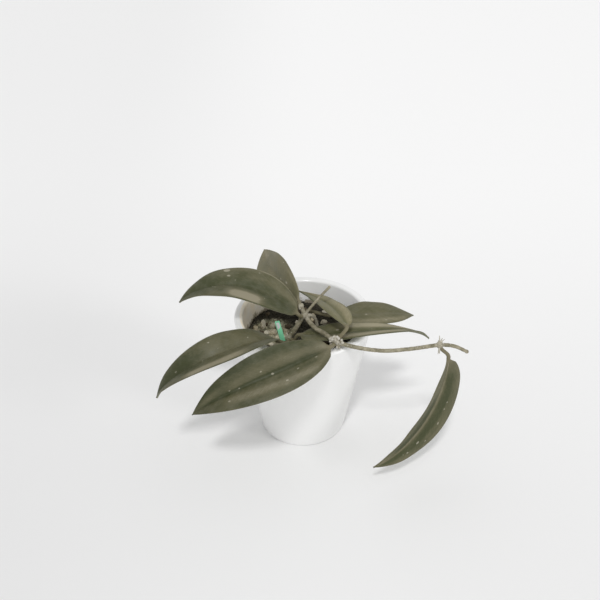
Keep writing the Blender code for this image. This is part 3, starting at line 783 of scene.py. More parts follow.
def glaze_material(settings):
    """White glaze, hardly uneven: a pinhole on the back of the lip, a stain above the mix inside, and painted
    shade, a tan tint on the left of the inner wall.
    """
    made, tree, shader = new_material("white glaze", Coat_Roughness=0.12, Coat_Weight=0.40)
    place = object_place(tree)
    across, _, up = place.parts()
    patches, height = mottle(place, scale=35.0, fineness=9.0, contrast=0.8)
    colour = patches.blend(settings.glaze, times(settings.glaze, GLAZE_SHADE))
    slope = wall_slope(settings.rim_radius, settings.height)
    from_base = place.vector("MULTIPLY", (1.0, 1.0, 0.0)).length() - up * slope
    inside = from_base < POT_BASE_RADIUS - POT_WALL + STAIN_DEPTH
    clouds, cloud_height = mottle(place, scale=120.0, fineness=5.0, contrast=1.2)
    top = clouds * STAIN_RISE + (MIX_LEVEL + STAIN_LOW)
    stained = inside * (top - up).clamped_times(1 / STAIN_FADE) * STAIN_STRENGTH
    # painted shade on the left of the inner wall, tinted tan
    aside = across.ramp(LEFT_SHADE_START, LEFT_SHADE_FULL) * cloud_height
    colour = (inside * aside).clamped_times(LEFT_SHADE_STRENGTH).blend(colour, settings.film)
    colour = stained.blend(colour, settings.stain)
    speck = place.distance(SPECK_SPOT).ramp(*SPECK_SIZE, 1.0, 0.0)
    colour = (speck * SPECK_STRENGTH).blend(colour, SPECK_COLOUR)
    paint(shader, colour, patches, GLAZE_ROUGHNESS)
    bump(shader, height, distance=0.0003, strength=0.03)
    return made


def soil_material(settings):
    """Dark mix, lighter where crumbly: real pale crumbs, paler still as painted light in the leaves' shade.
    """
    made, tree, shader = new_material("dark potting mix", Specular_IOR_Level=0.25)
    place = object_place(tree)
    patches, height = mottle(place, scale=260.0, fineness=6.0, contrast=1.4)
    colour = patches.blend(times(settings.soil, SOIL_SHADE), settings.soil)
    crumbly = place.distance(CRUMBLY_SPOT).ramp(*CRUMBLY_REACH, *CRUMBLY_SHARES)
    lighter = attribute(tree, "tone", "Fac").ramp(*CRUMB_LIGHTNESS) * crumbly
    paint(shader, lighter.blend(colour, settings.crumb), patches, SOIL_ROUGHNESS)
    bump(shader, height, distance=0.0008, strength=0.9)
    return made


def chip_material(settings):
    """Dark bark, or pale pumice for a tone above a half: pores, and grey or sandy from chip to chip."""
    made, tree, shader = new_material("pale chips", Specular_IOR_Level=0.3, Roughness=0.92)
    place = object_place(tree)
    tone = attribute(tree, "tone", "Fac")
    patches, height = mottle(place, scale=420.0, fineness=5.0, contrast=1.3)
    pores = pale_flecks(place, scale=1500.0, size=0.30, share=0.55)
    sandy = tuple(part * share for part, share in zip(settings.chip, CHIP_SANDY))
    pumice = tone.ramp(0.5, 1.0).blend(settings.chip, sandy)
    bark = patches.blend(settings.bark, times(settings.bark, BARK_CHIP_LIGHT))
    pale = tone > 0.5
    uneven = pale * CHIP_UNEVEN
    colour = (patches * uneven).blend(pale.blend(bark, pumice), CHIP_SHADE)
    feed(shader, "Base Color", (pores * uneven).blend(colour, PORE_COLOUR))
    bump(shader, height - pores * PORE_DEPTH, distance=0.0005, strength=0.9)
    return made


def label_material(settings):
    """Mint plastic with a white field let in near its top."""
    made, tree, shader = new_material("mint plastic", Coat_Weight=0.1, Coat_Roughness=0.2)
    across, down, _ = attribute(tree, "strip").parts()
    above_end = (down + across * FIELD_SLANT).ramp(*FIELD_END, 1.0, 0.0)
    field = abs(across).ramp(*FIELD_MARGIN, 1.0, 0.0) * down.ramp(*FIELD_MARGIN) * above_end
    film = dusty_film(object_place(tree), scale=700.0, amount=0.5)
    soiled = down.ramp(*SOILED_FROM) * SOILED_STRENGTH
    colour = film.blend(field.blend(settings.mint, settings.white), LABEL_DUST)
    feed(shader, "Base Color", soiled.blend(colour, LABEL_SOIL))
    feed(shader, "Roughness", film.ramp(0.0, 0.5, *LABEL_ROUGHNESS))
    return made


def bark_material(settings):
    """Grey green bark: pale streaks, corky nodes and whitish aerial roots."""
    made, tree, shader = new_material("woody stem", Specular_IOR_Level=0.4)
    place = object_place(tree)
    root, node, _ = attribute(tree, "growth").parts()
    patches, height = mottle(place, scale=260.0, fineness=6.0, contrast=1.9)
    flecks = pale_flecks(place, scale=700.0, size=0.28, share=0.22)
    pale = patches.blend(settings.bark_light, settings.root)
    colour = patches.blend(settings.bark, settings.bark_light)
    colour = (flecks * BARK_FLECK_STRENGTH).blend(colour, settings.root)
    colour = node.ramp(0.0, 1.0, 0.0, NODE_PALENESS).blend(colour, pale)
    paint(shader, root.blend(colour, settings.root), root, BARK_ROUGHNESS)
    bump(shader, height + flecks * BARK_FLECK_HEIGHT, distance=0.0004, strength=0.7)
    return made


def band_tone_and_light(share, across, band):
    """How much one band lightens or darkens the skin: most bands are painted sheen and painted shade, a few
    own tone. It is soft at its sides and ends.
    """
    start, end, place_start, place_end, half, strength = band
    slope = (place_end - place_start) / (end - start)
    offset = abs(across - (share * slope + (place_start - slope * start)))
    begun = share.ramp(start - BAND_FADE, start + BAND_FADE)
    lasting = begun * share.ramp(end + BAND_FADE, end - BAND_FADE)
    return offset.ramp(half, half * BAND_CORE) * lasting * strength


def scar_spots(place, leaf, number, scars):
    """Small pale scars at the given places of a blade, with uneven rims."""
    wobble = place.noise(SCAR_WOBBLE_SCALE) * SCAR_WOBBLE
    spots = 0.0
    for share, across, radius in scars:
        middle = (share * leaf["length"] + number, across * half_width(leaf, share), 0.0)
        away = place.vector("SUBTRACT", middle).vector("MULTIPLY", SCAR_STRETCH).length()
        near = radius * SCAR_SIZE + SCAR_WOBBLE / 2 - (away + wobble)
        spots = near.clamped_times(1 / SCAR_EDGE).maths("MAXIMUM", spots)
    return spots


def vein_lines(place):
    """Faint side veins that leave the midrib at a slant."""
    along, aside, _ = place.parts()
    run = along - abs(aside) * VEIN_SLANT + place.noise(VEIN_WARP_SCALE) * VEIN_WARP
    return (run * (math.tau / VEIN_SPACING)).maths("SINE").ramp(*VEIN_CREST)


def skin_colour(settings, skin, tone):
    """Dark, light and palest colour of a skin by its tone, each scaled by the skin's lift and warmth;
    the lift is partly painted light.
    """
    dark, light, sheen = (
        tuple(min(1.0, part * skin["lift"] * tint) for part, tint in zip(colour, skin["warmth"]))
        for colour in (settings.dark, settings.light, settings.sheen)
    )
    return tone.ramp(0.5, 1.0).blend(tone.ramp(0.0, 0.6).blend(dark, light), sheen)


def leaf_material(name, settings, number):
    """Thick waxy skin of one leaf: bands of painted sheen, painted shade and own tone, cloudy patches,
    faint veins, flecks and scars.
    """
    skin = SKINS[name]
    constants = {"Coat_Weight": 0.05, "Coat_Roughness": 0.32, "Specular_IOR_Level": 0.28}
    made, tree, shader = new_material("skin of " + name, **constants)
    place = attribute(tree, "blade_place")
    share, across, upper = attribute(tree, "blade_mark").parts()
    patches, height = mottle(place.vector("MULTIPLY", SKIN_STRETCH), scale=150.0, fineness=8.0, contrast=1.25)
    veins = vein_lines(place)
    tone = patches * SKIN_TONE_RANGE + SKIN_TONE
    # bands of painted sheen and painted shade, and a few of own tone, laid on the cloudy tone
    for band in skin["tone_and_light_bands"]:
        tone = tone + band_tone_and_light(share, across, band)
    colour = skin_colour(settings, skin, tone + veins * VEIN_TONE)
    colour = upper.ramp(0.4, 0.6, 1.0, 0.0).blend(colour, settings.under)
    colour = dusty_film(place, scale=140.0, amount=0.12).blend(colour, SKIN_DUST)
    flecks = pale_flecks(place, scale=260.0, size=0.12, share=0.10) * FLECK_STRENGTH
    scars = scar_spots(place, LEAVES[name], number, skin["scars"]) * SCAR_STRENGTH
    pale = flecks.maths("MAXIMUM", scars)
    colour = (pale * upper).blend(colour, settings.fleck)
    colour = (abs(across).ramp(*MARGIN_REACH) * MARGIN_STRENGTH).blend(colour, MARGIN_COLOUR)
    near_stalk = share.ramp(STALK_COLOUR_REACH, 0.0) * STALK_COLOUR_STRENGTH
    feed(shader, "Base Color", near_stalk.blend(colour, settings.stalk))
    feed(shader, "Roughness", patches.ramp(0.0, 1.0, *SKIN_ROUGHNESS) + pale * PALE_ROUGHNESS)
    wide = bump(shader, height + veins * VEIN_HEIGHT, distance=0.0010, strength=0.45)
    bump(shader, place.noise(1500.0, 3.0), distance=0.00008, strength=0.7, below=wide)
    return made


def floor_material(settings):
    """Plain pale floor with painted light falloff: darker at the left and paler at the back."""
    made, tree, shader = new_material("pale floor", Specular_IOR_Level=0.25)
    place = object_place(tree)
    patches, _ = mottle(place, scale=5.0, fineness=8.0, contrast=0.4)
    across, along, _ = place.parts()
    # painted light falloff across and along the floor
    painted_light = across.ramp(*FLOOR_ACROSS) + along.ramp(*FLOOR_ALONG)
    colour = painted_light.blend(times(settings.floor, FLOOR_SHADED), times(settings.floor, FLOOR_LIT))
    paint(shader, colour, patches, FLOOR_ROUGHNESS)
    return made


# Mesh helpers


def link_object(name, data, material=None):
    made = bpy.data.objects.new(name, data)
    bpy.context.scene.collection.objects.link(made)
    if material is not None:
        data.materials.clear()
        data.materials.append(material)
    return made


def mesh_from(name, shape, recalculate=True):
    """A smooth mesh from a bmesh of closed surfaces, faces out."""
    if recalculate:
        bmesh.ops.recalc_face_normals(shape, faces=shape.faces)
    mesh = bpy.data.meshes.new(name)
    shape.to_mesh(mesh)
    shape.free()
    mesh.shade_smooth()
    return mesh


def store(mesh, name, kind, values):
    """Stores values on the mesh's points as a named attribute."""
    layer = mesh.attributes.new(name, kind, "POINT")
    field = "vector" if kind == "FLOAT_VECTOR" else "value"
    layer.data.foreach_set(field, np.asarray(values, np.float32).ravel())


def evaluated_mesh(name, helper):
    """The helper's mesh with its modifiers, as a plain mesh; the helper is removed."""
    graph = bpy.context.evaluated_depsgraph_get()
    mesh = bpy.data.meshes.new_from_object(helper.evaluated_get(graph))
    old = helper.data
    bpy.data.objects.remove(helper, do_unlink=True)
    bpy.data.meshes.remove(old)
    mesh.name = name
    return mesh


def run_nodes(name, mesh, tree, values):
    """Runs a geometry tree on a mesh, with its inputs set by name, and gives the plain result."""
    helper = link_object(name + "_source", mesh)
    modifier = helper.modifiers.new("made by rule", "NODES")
    modifier.node_group = tree
    sockets = {s.name: s.identifier for s in tree.interface.items_tree if s.in_out == "INPUT"}
    for socket_name, value in values.items():
        modifier[sockets[socket_name]] = value
    return evaluated_mesh(name, helper)


def end_tree(geometry, given, out):
    """Ends a geometry tree: makes its copies real and sets their material."""
    real = output_of(geometry.tree, "GeometryNodeRealizeInstances", {"Geometry": geometry})
    inputs = {"Geometry": real, "Material": given["Material"]}
    feed(out, "Geometry", output_of(geometry.tree, "GeometryNodeSetMaterial", inputs))


def finish_piece(name, mesh, material, slot, *nodes):
    """Puts a finished piece in the frame: it rides on the root and stands for the named nodes."""
    piece = link_object(name, mesh, material)
    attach(piece, ROOT)
    if nodes:
        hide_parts(*nodes)


def direction(heading, rise):
    """Unit vector from a heading and a rise in degrees."""
    turn = math.radians(heading)
    up = math.radians(rise)
    return Vector((math.cos(up) * math.cos(turn), math.cos(up) * math.sin(turn), math.sin(up)))


def clamped(value):
    return max(0.0, min(1.0, value))


def smooth_route(route, steps):
    """Points and radii along a smooth curve through the route's own points."""
    points = [place for place, _ in route]
    radii = [radius for _, radius in route]
    padded = [2 * points[0] - points[1], *points, 2 * points[-1] - points[-2]]
    path = []
    for span in range(len(points) - 1):
        before, start, end, after = padded[span : span + 4]
        for step in range(steps):
            share = step / steps
            bend = (2 * before - 5 * start + 4 * end - after) * share**2
            swing = (3 * start - before - 3 * end + after) * share**3
            place = start + 0.5 * ((end - before) * share + bend + swing)
            path.append((place, radii[span] + (radii[span + 1] - radii[span]) * share))
    path.append((points[-1], radii[-1]))
    return path


def loft(shape, rings):
    """Adds a closed skin over rings of points to the bmesh, with a cap at both ends."""
    grid = [[shape.verts.new(point) for point in ring] for ring in rings]
    for near, far in zip(grid, grid[1:]):
        for step in range(len(near)):
            after = (step + 1) % len(near)
            shape.faces.new((near[step], near[after], far[after], far[step]))
    shape.faces.new(list(reversed(grid[0])))
    shape.faces.new(grid[-1])


def sweep(shape, path, sides):
    """Adds a closed round tube along the path to the bmesh."""
    rings = []
    side = None
    angles = [math.tau * step / sides for step in range(sides)]
    for index, (place, radius) in enumerate(path):
        before = path[max(index - 1, 0)][0]
        after = path[min(index + 1, len(path) - 1)][0]
        along = (after - before).normalized()
        side = along.orthogonal() if side is None else side - along * side.dot(along)
        side.normalize()
        other = along.cross(side)
        ways = [side * math.cos(angle) + other * math.sin(angle) for angle in angles]
        rings.append([place + radius * way for way in ways])
    loft(shape, rings)


# Pot


def wall_slope(rim_radius, height):
    return (rim_radius - POT_BASE_RADIUS) / height


def pot_outline(settings):
    """Corners of the wall's section with the rounding of each, from the inside floor to the base."""
    slope = wall_slope(settings.rim_radius, settings.height)
    outer_floor = POT_BASE_RADIUS + slope * POT_FLOOR
    outer_rim = POT_BASE_RADIUS + slope * settings.height
    return [
        ((0.0, POT_FLOOR), 0.0),
        ((outer_floor - POT_WALL, POT_FLOOR), FLOOR_ROUND),
        ((outer_rim - POT_WALL, settings.height), settings.lip_round),
        ((outer_rim + LIP_CORNER, settings.height), settings.lip_round),
        ((POT_BASE_RADIUS, 0.0), settings.foot_round),
        ((0.0, 0.0), 0.0),
    ]


def turned_tree():
    """Geometry tree: rounds a section's corners, turns it about the upright axis and closes its poles."""
    inputs = {"Geometry": "Geometry", "Sides": 96, "Corner Steps": 8, "Material": "Material"}
    tree, given, out = new_group("Turned body", "GeometryNodeTree", inputs, "Geometry", "Geometry")
    rounding = output_of(tree, "GeometryNodeInputNamedAttribute", {"Name": "rounding"}, data_type="FLOAT")
    outline = output_of(tree, "GeometryNodeMeshToCurve", {"Mesh": given["Geometry"]})
    corners = {"Curve": outline, "Radius": rounding, "Count": given["Corner Steps"]}
    soft = output_of(tree, "GeometryNodeFilletCurve", corners, mode="POLY")
    moved = {"Geometry": soft, "Translation": (-TURN_RADIUS, 0.0, 0.0), "Scale": (1.0, -1.0, 1.0)}
    section = output_of(tree, "GeometryNodeTransform", moved)
    circle = {"Resolution": given["Sides"], "Radius": TURN_RADIUS}
    turn = output_of(tree, "GeometryNodeCurvePrimitiveCircle", circle)
    upright = output_of(tree, "GeometryNodeSetCurveNormal", {"Curve": turn}, mode="Z_UP")
    swept = output_of(tree, "GeometryNodeCurveToMesh", {"Curve": upright, "Profile Curve": section})
    poles = {"Geometry": swept, "Distance": POLE_SIZE}
    end_tree(output_of(tree, "GeometryNodeMergeByDistance", poles), given, out)
    return tree


def build_pot(settings):
    corners = pot_outline(settings)
    outline = bpy.data.meshes.new("pot_section")
    edges = [(index, index + 1) for index in range(len(corners) - 1)]
    outline.from_pydata([(across, up, 0.0) for (across, up), _ in corners], edges, [])
    store(outline, "rounding", "FLOAT", [rounding for _, rounding in corners])
    glaze = glaze_material(settings)
    values = {"Sides": settings.sides, "Corner Steps": CORNER_STEPS, "Material": glaze}
    shape = bmesh.new()
    shape.from_mesh(run_nodes("glazed_pot", outline, turned_tree(), values))
    mesh = mesh_from("glazed_pot", shape)
    mesh.set_sharp_from_angle(angle=POT_SHARP)
    finish_piece("glazed_pot", mesh, glaze, "pot_glaze", "pot")


# Potting mix


def wall_inside(height):
    """Radius of the pot's inner wall at a height."""
    return POT_BASE_RADIUS + wall_slope(POT_HIGH.x, POT_HIGH.z) * height - POT_WALL


def mix_height(across, along):
    """Height of the mix's surface: a low mound with small ripples."""
    reach = math.hypot(across, along) / wall_inside(MIX_LEVEL)
    slant = across * MIX_RIPPLE_SLANT
    ripple = math.sin(across * MIX_RIPPLES_PER_METRE) * math.cos(along * MIX_RIPPLES_PER_METRE + slant)
    return MIX_LEVEL + MIX_MOUND * (1 - reach**2) + MIX_RIPPLE * ripple


def clod_point(x, y):
    clod = noise.fractal(Vector((x, y, CLOD_SLICE)) * CLOD_SCALE, *CLOD_NOISE)
    return x, y, mix_height(x, y) + CLOD_HEIGHT * clod - CLOD_SUNK


def mix_bed():
    """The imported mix: a plug whose top is broken up into clods."""
    low = POT_FLOOR + GAP
    angles = [math.tau * side / MIX_SIDES for side in range(MIX_SIDES)]
    foot = wall_inside(low) - GAP
    rings = [[(foot * math.cos(angle), foot * math.sin(angle), low) for angle in angles]]
    for ring in range(MIX_RING_COUNT):
        reach = (1.0 - ring / MIX_RING_COUNT) * (wall_inside(MIX_LEVEL) - GAP)
        rings.append([clod_point(reach * math.cos(angle), reach * math.sin(angle)) for angle in angles])
    shape = bmesh.new()
    loft(shape, rings)
    mesh = mesh_from("mix_bed", shape)
    tones = [0.25 + 0.5 * noise.noise(Vector(v.co) * MIX_TONE_SCALE) for v in mesh.vertices]
    store(mesh, "tone", "FLOAT", tones)
    return mesh


def label_axis(height):
    drop = LABEL_TOP.z - height
    return Vector((LABEL_TOP.x + drop * math.tan(LABEL_LEAN), LABEL_TOP.y))


def chip_places():
    """Seeded places of the chips, as on the solid, kept apart from the stem and the label."""
    draw = random.Random(CHIP_SEED)
    kept_clear = [Vector((STEM_SURFACE.x, STEM_SURFACE.y)), label_axis(MIX_LEVEL)]
    places = []
    while len(places) < CHIP_COUNT:
        size = draw.uniform(CHIP_SMALLEST, CHIP_LARGEST)
        reach = (wall_inside(MIX_LEVEL) - size * CHIP_BULGE - GAP) * math.sqrt(draw.random())
        angle = draw.uniform(0, math.tau)
        place = Vector((reach * math.cos(angle), reach * math.sin(angle)))
        free = size * CHIP_BULGE + CHIP_FREE_RADIUS
        near_stem = any((place - spot).length < free for spot in kept_clear)
        crowded = any((place - other).length < CHIP_SPACING for other, _ in places)
        if not near_stem and not crowded:
            places.append((place, size))
    return places


def random_vector(tree, low, high, seed=0):
    inputs = {0: low, 1: high, "Seed": seed}
    return output_of(tree, "FunctionNodeRandomValue", inputs, data_type="FLOAT_VECTOR")


def random_number(tree, low, high, seed=0):
    inputs = {2: low, 3: high, "Seed": seed}
    return output_of(tree, "FunctionNodeRandomValue", inputs, 1, data_type="FLOAT")


def scatter_tree():
    """Geometry tree: rough lumps strewn over the upward faces of a surface."""
    sizes = {"Density": 100000.0, "Smallest": 0.0005, "Largest": 0.0010, "Seed": CRUMB_SEED}
    inputs = {"Geometry": "Geometry", **sizes, "Material": "Material"}
    tree, given, out = new_group("Strewn crumbs", "GeometryNodeTree", inputs, "Geometry", "Geometry")
    seed = given["Seed"]
    top = output_of(tree, "GeometryNodeInputNormal").parts()[2] > CRUMB_SLOPE
    strewn = {"Mesh": given["Geometry"], "Selection": top, "Density": given["Density"], "Seed": seed}
    points = output_of(tree, "GeometryNodeDistributePointsOnFaces", strewn)
    ball_shape = output_of(tree, "GeometryNodeMeshIcoSphere", {"Radius": 1.0, "Subdivisions": 1})
    rough = output_of(tree, "ShaderNodeTexNoise", {"Scale": 1.7, "Detail": 1.0}, "Color")
    pushed = {"Geometry": ball_shape, "Offset": rough.vector("SUBTRACT", (0.5, 0.5, 0.5))}
    lump = output_of(tree, "GeometryNodeSetPosition", pushed)
    turn = random_vector(tree, (0.0, 0.0, 0.0), (math.tau, math.tau, math.tau), seed)
    size = random_number(tree, given["Smallest"], given["Largest"], seed)
    stretch = {0: random_vector(tree, CRUMB_LEAST, CRUMB_MOST), "Scale": size}
    sized = output_of(tree, "ShaderNodeVectorMath", stretch, operation="SCALE")
    placed = {"Points": points, "Instance": lump, "Rotation": turn, "Scale": sized}
    copies = output_of(tree, "GeometryNodeInstanceOnPoints", placed)
    tone = {"Geometry": copies, "Name": "tone", "Value": random_number(tree, 0.0, 1.0)}
    settings = {"data_type": "FLOAT", "domain": "INSTANCE"}
    end_tree(output_of(tree, "GeometryNodeStoreNamedAttribute", tone, **settings), given, out)
    return tree


def chip_shapes():
    """Place, half sizes and turn of every chip: the small ones, then the larger ones."""
    draw = random.Random(CHIP_SEED + 1)
    shapes = []
    for place, size in chip_places():
        reach = [size * draw.uniform(*share) for share in CHIP_PROPORTIONS]
        shapes.append((place, reach, draw.uniform(0, math.tau)))
    for place, reach in LARGE_CHIPS:
        shapes.append((Vector(place), reach, 0.0))
    return shapes


def chips_mesh():
    """The chips as rough angular lumps, where the solid has its own; tones above a half are pale."""
    shape = bmesh.new()
    tones = []
    draw = random.Random(CHIP_SEED + 2)
    for number, (place, reach, angle) in enumerate(chip_shapes()):
        made = bmesh.ops.create_icosphere(shape, subdivisions=4, radius=1)["verts"]
        shift = Vector([draw.uniform(-CHIP_SHIFT, CHIP_SHIFT) for _ in range(3)])
        turn = Matrix.Rotation(angle, 3, "Z")
        centre = Vector((*place, mix_height(*place) + reach[2] * (1 - 2 * CHIP_SUNK)))
        cuts = [direction(draw.uniform(0, 360), draw.uniform(*CHIP_CUT_RISES)) for _ in range(CHIP_CUTS)]
        depths = [draw.uniform(*CHIP_CUT_DEPTHS) for _ in cuts]
        pale = number >= CHIP_COUNT or number < CHIP_COUNT * CHIP_PALE_SHARE
        tones += [0.5 * draw.random() + (0.5 if pale else 0.0)] * len(made)
        for vertex in made:
            way = vertex.co.normalized()
            flat = min([CHIP_REACH] + [depth / max(0.05, way.dot(cut)) for cut, depth in zip(cuts, depths)])
            rough = CHIP_ROUGH * noise.fractal(way * CHIP_NOISE_SCALE + shift, *CHIP_NOISE)
            spot = way * (flat + rough)
            vertex.co = turn @ Vector(axis * half for axis, half in zip(spot, reach)) + centre
    mesh = mesh_from("pumice_chips", shape)
    mesh.set_sharp_from_angle(angle=CHIP_SHARP)
    store(mesh, "tone", "FLOAT", tones)
    return mesh


def build_mix(settings):
    soil = soil_material(settings)
    chip = chip_material(settings)
    bed = mix_bed()
    values = {
        "Density": settings.crumb_density, "Smallest": settings.crumb_smallest,
        "Largest": settings.crumb_largest, "Seed": CRUMB_SEED, "Material": soil,
    }
    crumbs = run_nodes("mix_crumbs", bed.copy(), scatter_tree(), values)
    crumbs.shade_smooth()
    finish_piece("mix_bed", bed, soil, "potting_mix", "potting_mix")
    finish_piece("mix_crumbs", crumbs, soil, "potting_mix")
    finish_piece("pumice_chips", chips_mesh(), chip, "potting_mix")


# Plant label


def label_outline(half):
    """Outline of the strip with rounded top corners, from its foot."""
    outline = [(-half, -LABEL_LENGTH), (half, -LABEL_LENGTH)]
    steps = range(LABEL_CORNER_STEPS + 1)
    for side, order in ((1, steps), (-1, reversed(steps))):
        for step in order:
            angle = math.radians(90 * step / LABEL_CORNER_STEPS)
            across = side * (half - LABEL_CORNER + LABEL_CORNER * math.cos(angle))
            outline.append((across, LABEL_CORNER * (math.sin(angle) - 1)))
    return outline


def build_label(settings):
    """The strip with rounded top corners and softened edges, leaning in the mix."""
    shape = bmesh.new()
    depth = settings.thickness / 2
    outline = label_outline(settings.width / 2)
    face = shape.faces.new([shape.verts.new((across, -depth, up)) for across, up in outline])
    moved = bmesh.ops.extrude_face_region(shape, geom=[face])["geom"]
    corners = [part for part in moved if isinstance(part, bmesh.types.BMVert)]
    bmesh.ops.translate(shape, verts=corners, vec=(0, 2 * depth, 0))
    rims = [edge for edge in shape.edges if abs(edge.verts[0].co.y - edge.verts[1].co.y) < 1e-7]
    bmesh.ops.bevel(shape, geom=rims, offset=LABEL_EDGE, segments=2, profile=0.5, affect="EDGES")
    mesh = mesh_from("mint_label", shape)
    store(mesh, "strip", "FLOAT_VECTOR", [(v.co.x, -v.co.z, v.co.y) for v in mesh.vertices])
    mesh.transform(Matrix.Translation(LABEL_TOP) @ Matrix.Rotation(-LABEL_LEAN, 4, "Y"))
    mesh.set_sharp_from_angle(angle=LABEL_SHARP)
    finish_piece("mint_label", mesh, label_material(settings), "label_plastic", "plant_label")


# Vine and shoot


def knob_radius(node):
    return next(radius for place, radius in KNOBS if place == node)


def stand_off(node):
    """How far from a node's middle a stalk starts: the knob's radius and a hair's gap."""
    return knob_radius(node) + GAP


def clear_of_stalks(way, node, angle):
    """Whether a direction keeps an angle from every leaf stalk that leaves the node."""
    stalks = [Vector(leaf["leave"]) for leaf in LEAVES.values() if leaf["node"] == node]
    return all(way.angle(stalk) >= angle for stalk in stalks)


def root_paths():
    """Routes of the aerial roots, by the same seeded rule as on the solid."""
    draw = random.Random(ROOT_SEED)
    paths = []
    for node, heading, rise, count, length, radius in ROOT_BUNCHES:
        grown = 0
        while grown < count:
            swing = draw.uniform(-ROOT_SPREAD, ROOT_SPREAD)
            way = direction(heading + swing, rise + draw.uniform(-ROOT_TILT, ROOT_TILT))
            if not clear_of_stalks(way, node, ROOT_STALK_ANGLE):
                continue
            reach = length * draw.uniform(*ROOT_LENGTHS)
            sag = Vector((0, 0, -ROOT_SAG * reach))
            paths.append((
                (node + way * ROOT_FOOT, radius),
                (node + way * reach * ROOT_BEND, radius * ROOT_BEND_WIDTH),
                (node + way * reach + sag, radius * ROOT_TIP_WIDTH),
            ))
            grown += 1
    return paths


def nubs():
    """Node, middle, radius and paleness of the stubs of old root that crowd some nodes."""
    draw = random.Random(NUB_SEED)
    found = []
    for node, headings, rises, count, stands, radii, paleness in NUB_CLUSTERS:
        grown = 0
        while grown < count:
            way = direction(draw.uniform(*headings), draw.uniform(*rises))
            if clear_of_stalks(way, node, NUB_STALK_ANGLE):
                radius = draw.uniform(*radii)
                middle = node + way * (knob_radius(node) + draw.uniform(*stands))
                found.append((node, middle, radius, draw.uniform(*paleness)))
                grown += 1
    return found


def ball(shape, centre, radius):
    made = bmesh.ops.create_icosphere(shape, subdivisions=3, radius=radius)["verts"]
    bmesh.ops.translate(shape, verts=made, vec=centre)


def roughen(mesh, height, scale):
    """Pushes the points in and out along their normals by a fine noise."""
    normals = [vertex.normal.copy() for vertex in mesh.vertices]
    for vertex, normal in zip(mesh.vertices, normals):
        vertex.co += normal * height * noise.fractal(vertex.co * scale, *BARK_NOISE)
    mesh.update()


def skin_over(name, shape, voxel, roughness):
    """One continuous skin over a bmesh of overlapping closed bodies, soft where they meet, then rough."""
    helper = link_object(name, mesh_from(name, shape))
    skin = helper.modifiers.new("skin", "REMESH")
    skin.mode = "VOXEL"
    skin.voxel_size = voxel
    soft = helper.modifiers.new("soft joins", "SMOOTH")
    soft.factor = 0.5
    soft.iterations = VINE_SMOOTHING
    made = evaluated_mesh(name, helper)
    roughen(made, *roughness)
    made.shade_smooth()
    return made


def growth_marks(mesh, roots):
    """Marks each point with the paleness of the root it belongs to, and how near it is to a node."""
    tree = KDTree(len(roots))
    for index, (place, _, _) in enumerate(roots):
        tree.insert(place, index)
    tree.balance()
    marks = []
    for vertex in mesh.vertices:
        root = 0.0
        for _, index, away in tree.find_n(vertex.co, 3) if roots else []:
            _, radius, paleness = roots[index]
            root = max(root, paleness * clamped((radius + ROOT_SKIN - away) / ROOT_SKIN_FADE))
        node = max(1.0 - ((vertex.co - place).length - radius) / NODE_REACH for place, radius in KNOBS)
        marks.append((root, clamped(node), 0.0))
    store(mesh, "growth", "FLOAT_VECTOR", marks)


def add_stems(shape):
    """The stem and trailing run, the crown's stub, the swollen nodes and the cut end."""
    sweep(shape, smooth_route(VINE_ROUTE, VINE_STEPS), VINE_SIDES)
    sweep(shape, [(MIDDLE_NODE, CROWN_STEM_RADIUS), (CROWN_NODE, CROWN_STEM_RADIUS)], VINE_SIDES)
    for node, radius in KNOBS:
        ball(shape, node, radius)
    end, radius = VINE_ROUTE[-1]
    ball(shape, end, radius * CUT_END_WIDTH)


def add_roots(shape):
    """The aerial roots, their nubs and the old root; gives the place, radius and paleness of each."""
    roots = []
    for route in root_paths():
        path = smooth_route(route, ROOT_STEPS)
        sweep(shape, path, ROOT_SIDES)
        ball(shape, *path[-1])
        roots += [(place, radius, ROOT_PALENESS) for place, radius in path[ROOT_PALE_FROM:]]
    for node, place, radius, paleness in nubs():
        sweep(shape, [(node, radius * NUB_NECK), (place, radius * NUB_NECK)], NUB_NECK_SIDES)
        ball(shape, place, radius)
        roots.append((place, radius, paleness))
    strand = smooth_route(OLD_ROOT, VINE_STEPS)
    sweep(shape, strand, OLD_ROOT_SIDES)
    roots += [(place, radius, OLD_ROOT_PALENESS) for place, radius in strand[OLD_ROOT_PALE_FROM:]]
    return roots


def build_vine(settings, bark):
    """Stem, crown, trailing run, swollen nodes and roots, in one skin."""
    shape = bmesh.new()
    add_stems(shape)
    roots = add_roots(shape)
    mesh = skin_over("woody_vine", shape, settings.voxel, VINE_ROUGHNESS)
    growth_marks(mesh, roots)
    finish_piece("woody_vine", mesh, bark, "stem", "vine")


def build_shoot(settings, bark):
    """The bare side shoot with a faint leaf scar and a dry tip."""
    start = MIDDLE_NODE + SHOOT_LEAVE * (stand_off(MIDDLE_NODE) - SHOOT_SUNK)
    middle = (MIDDLE_NODE + SHOOT_LEAVE * stand_off(MIDDLE_NODE)).lerp(SHOOT_TIP, 0.5)
    middle.z += SHOOT_BOW
    path = smooth_route(list(zip((start, middle, SHOOT_TIP), SHOOT_RADII)), SHOOT_STEPS)
    shape = bmesh.new()
    sweep(shape, path, SHOOT_SIDES)
    scar, radius = path[SHOOT_SCAR_STEP]
    ball(shape, scar, radius * SHOOT_SCAR_WIDTH)
    ball(shape, SHOOT_TIP, SHOOT_RADII[-1] * SHOOT_TIP_WIDTH)
    mesh = skin_over("bare_shoot", shape, settings.voxel * SHOOT_DETAIL, SHOOT_ROUGHNESS)
    growth_marks(mesh, [])
    finish_piece("bare_shoot", mesh, bark, "stem", "side_shoot")


# Leaves


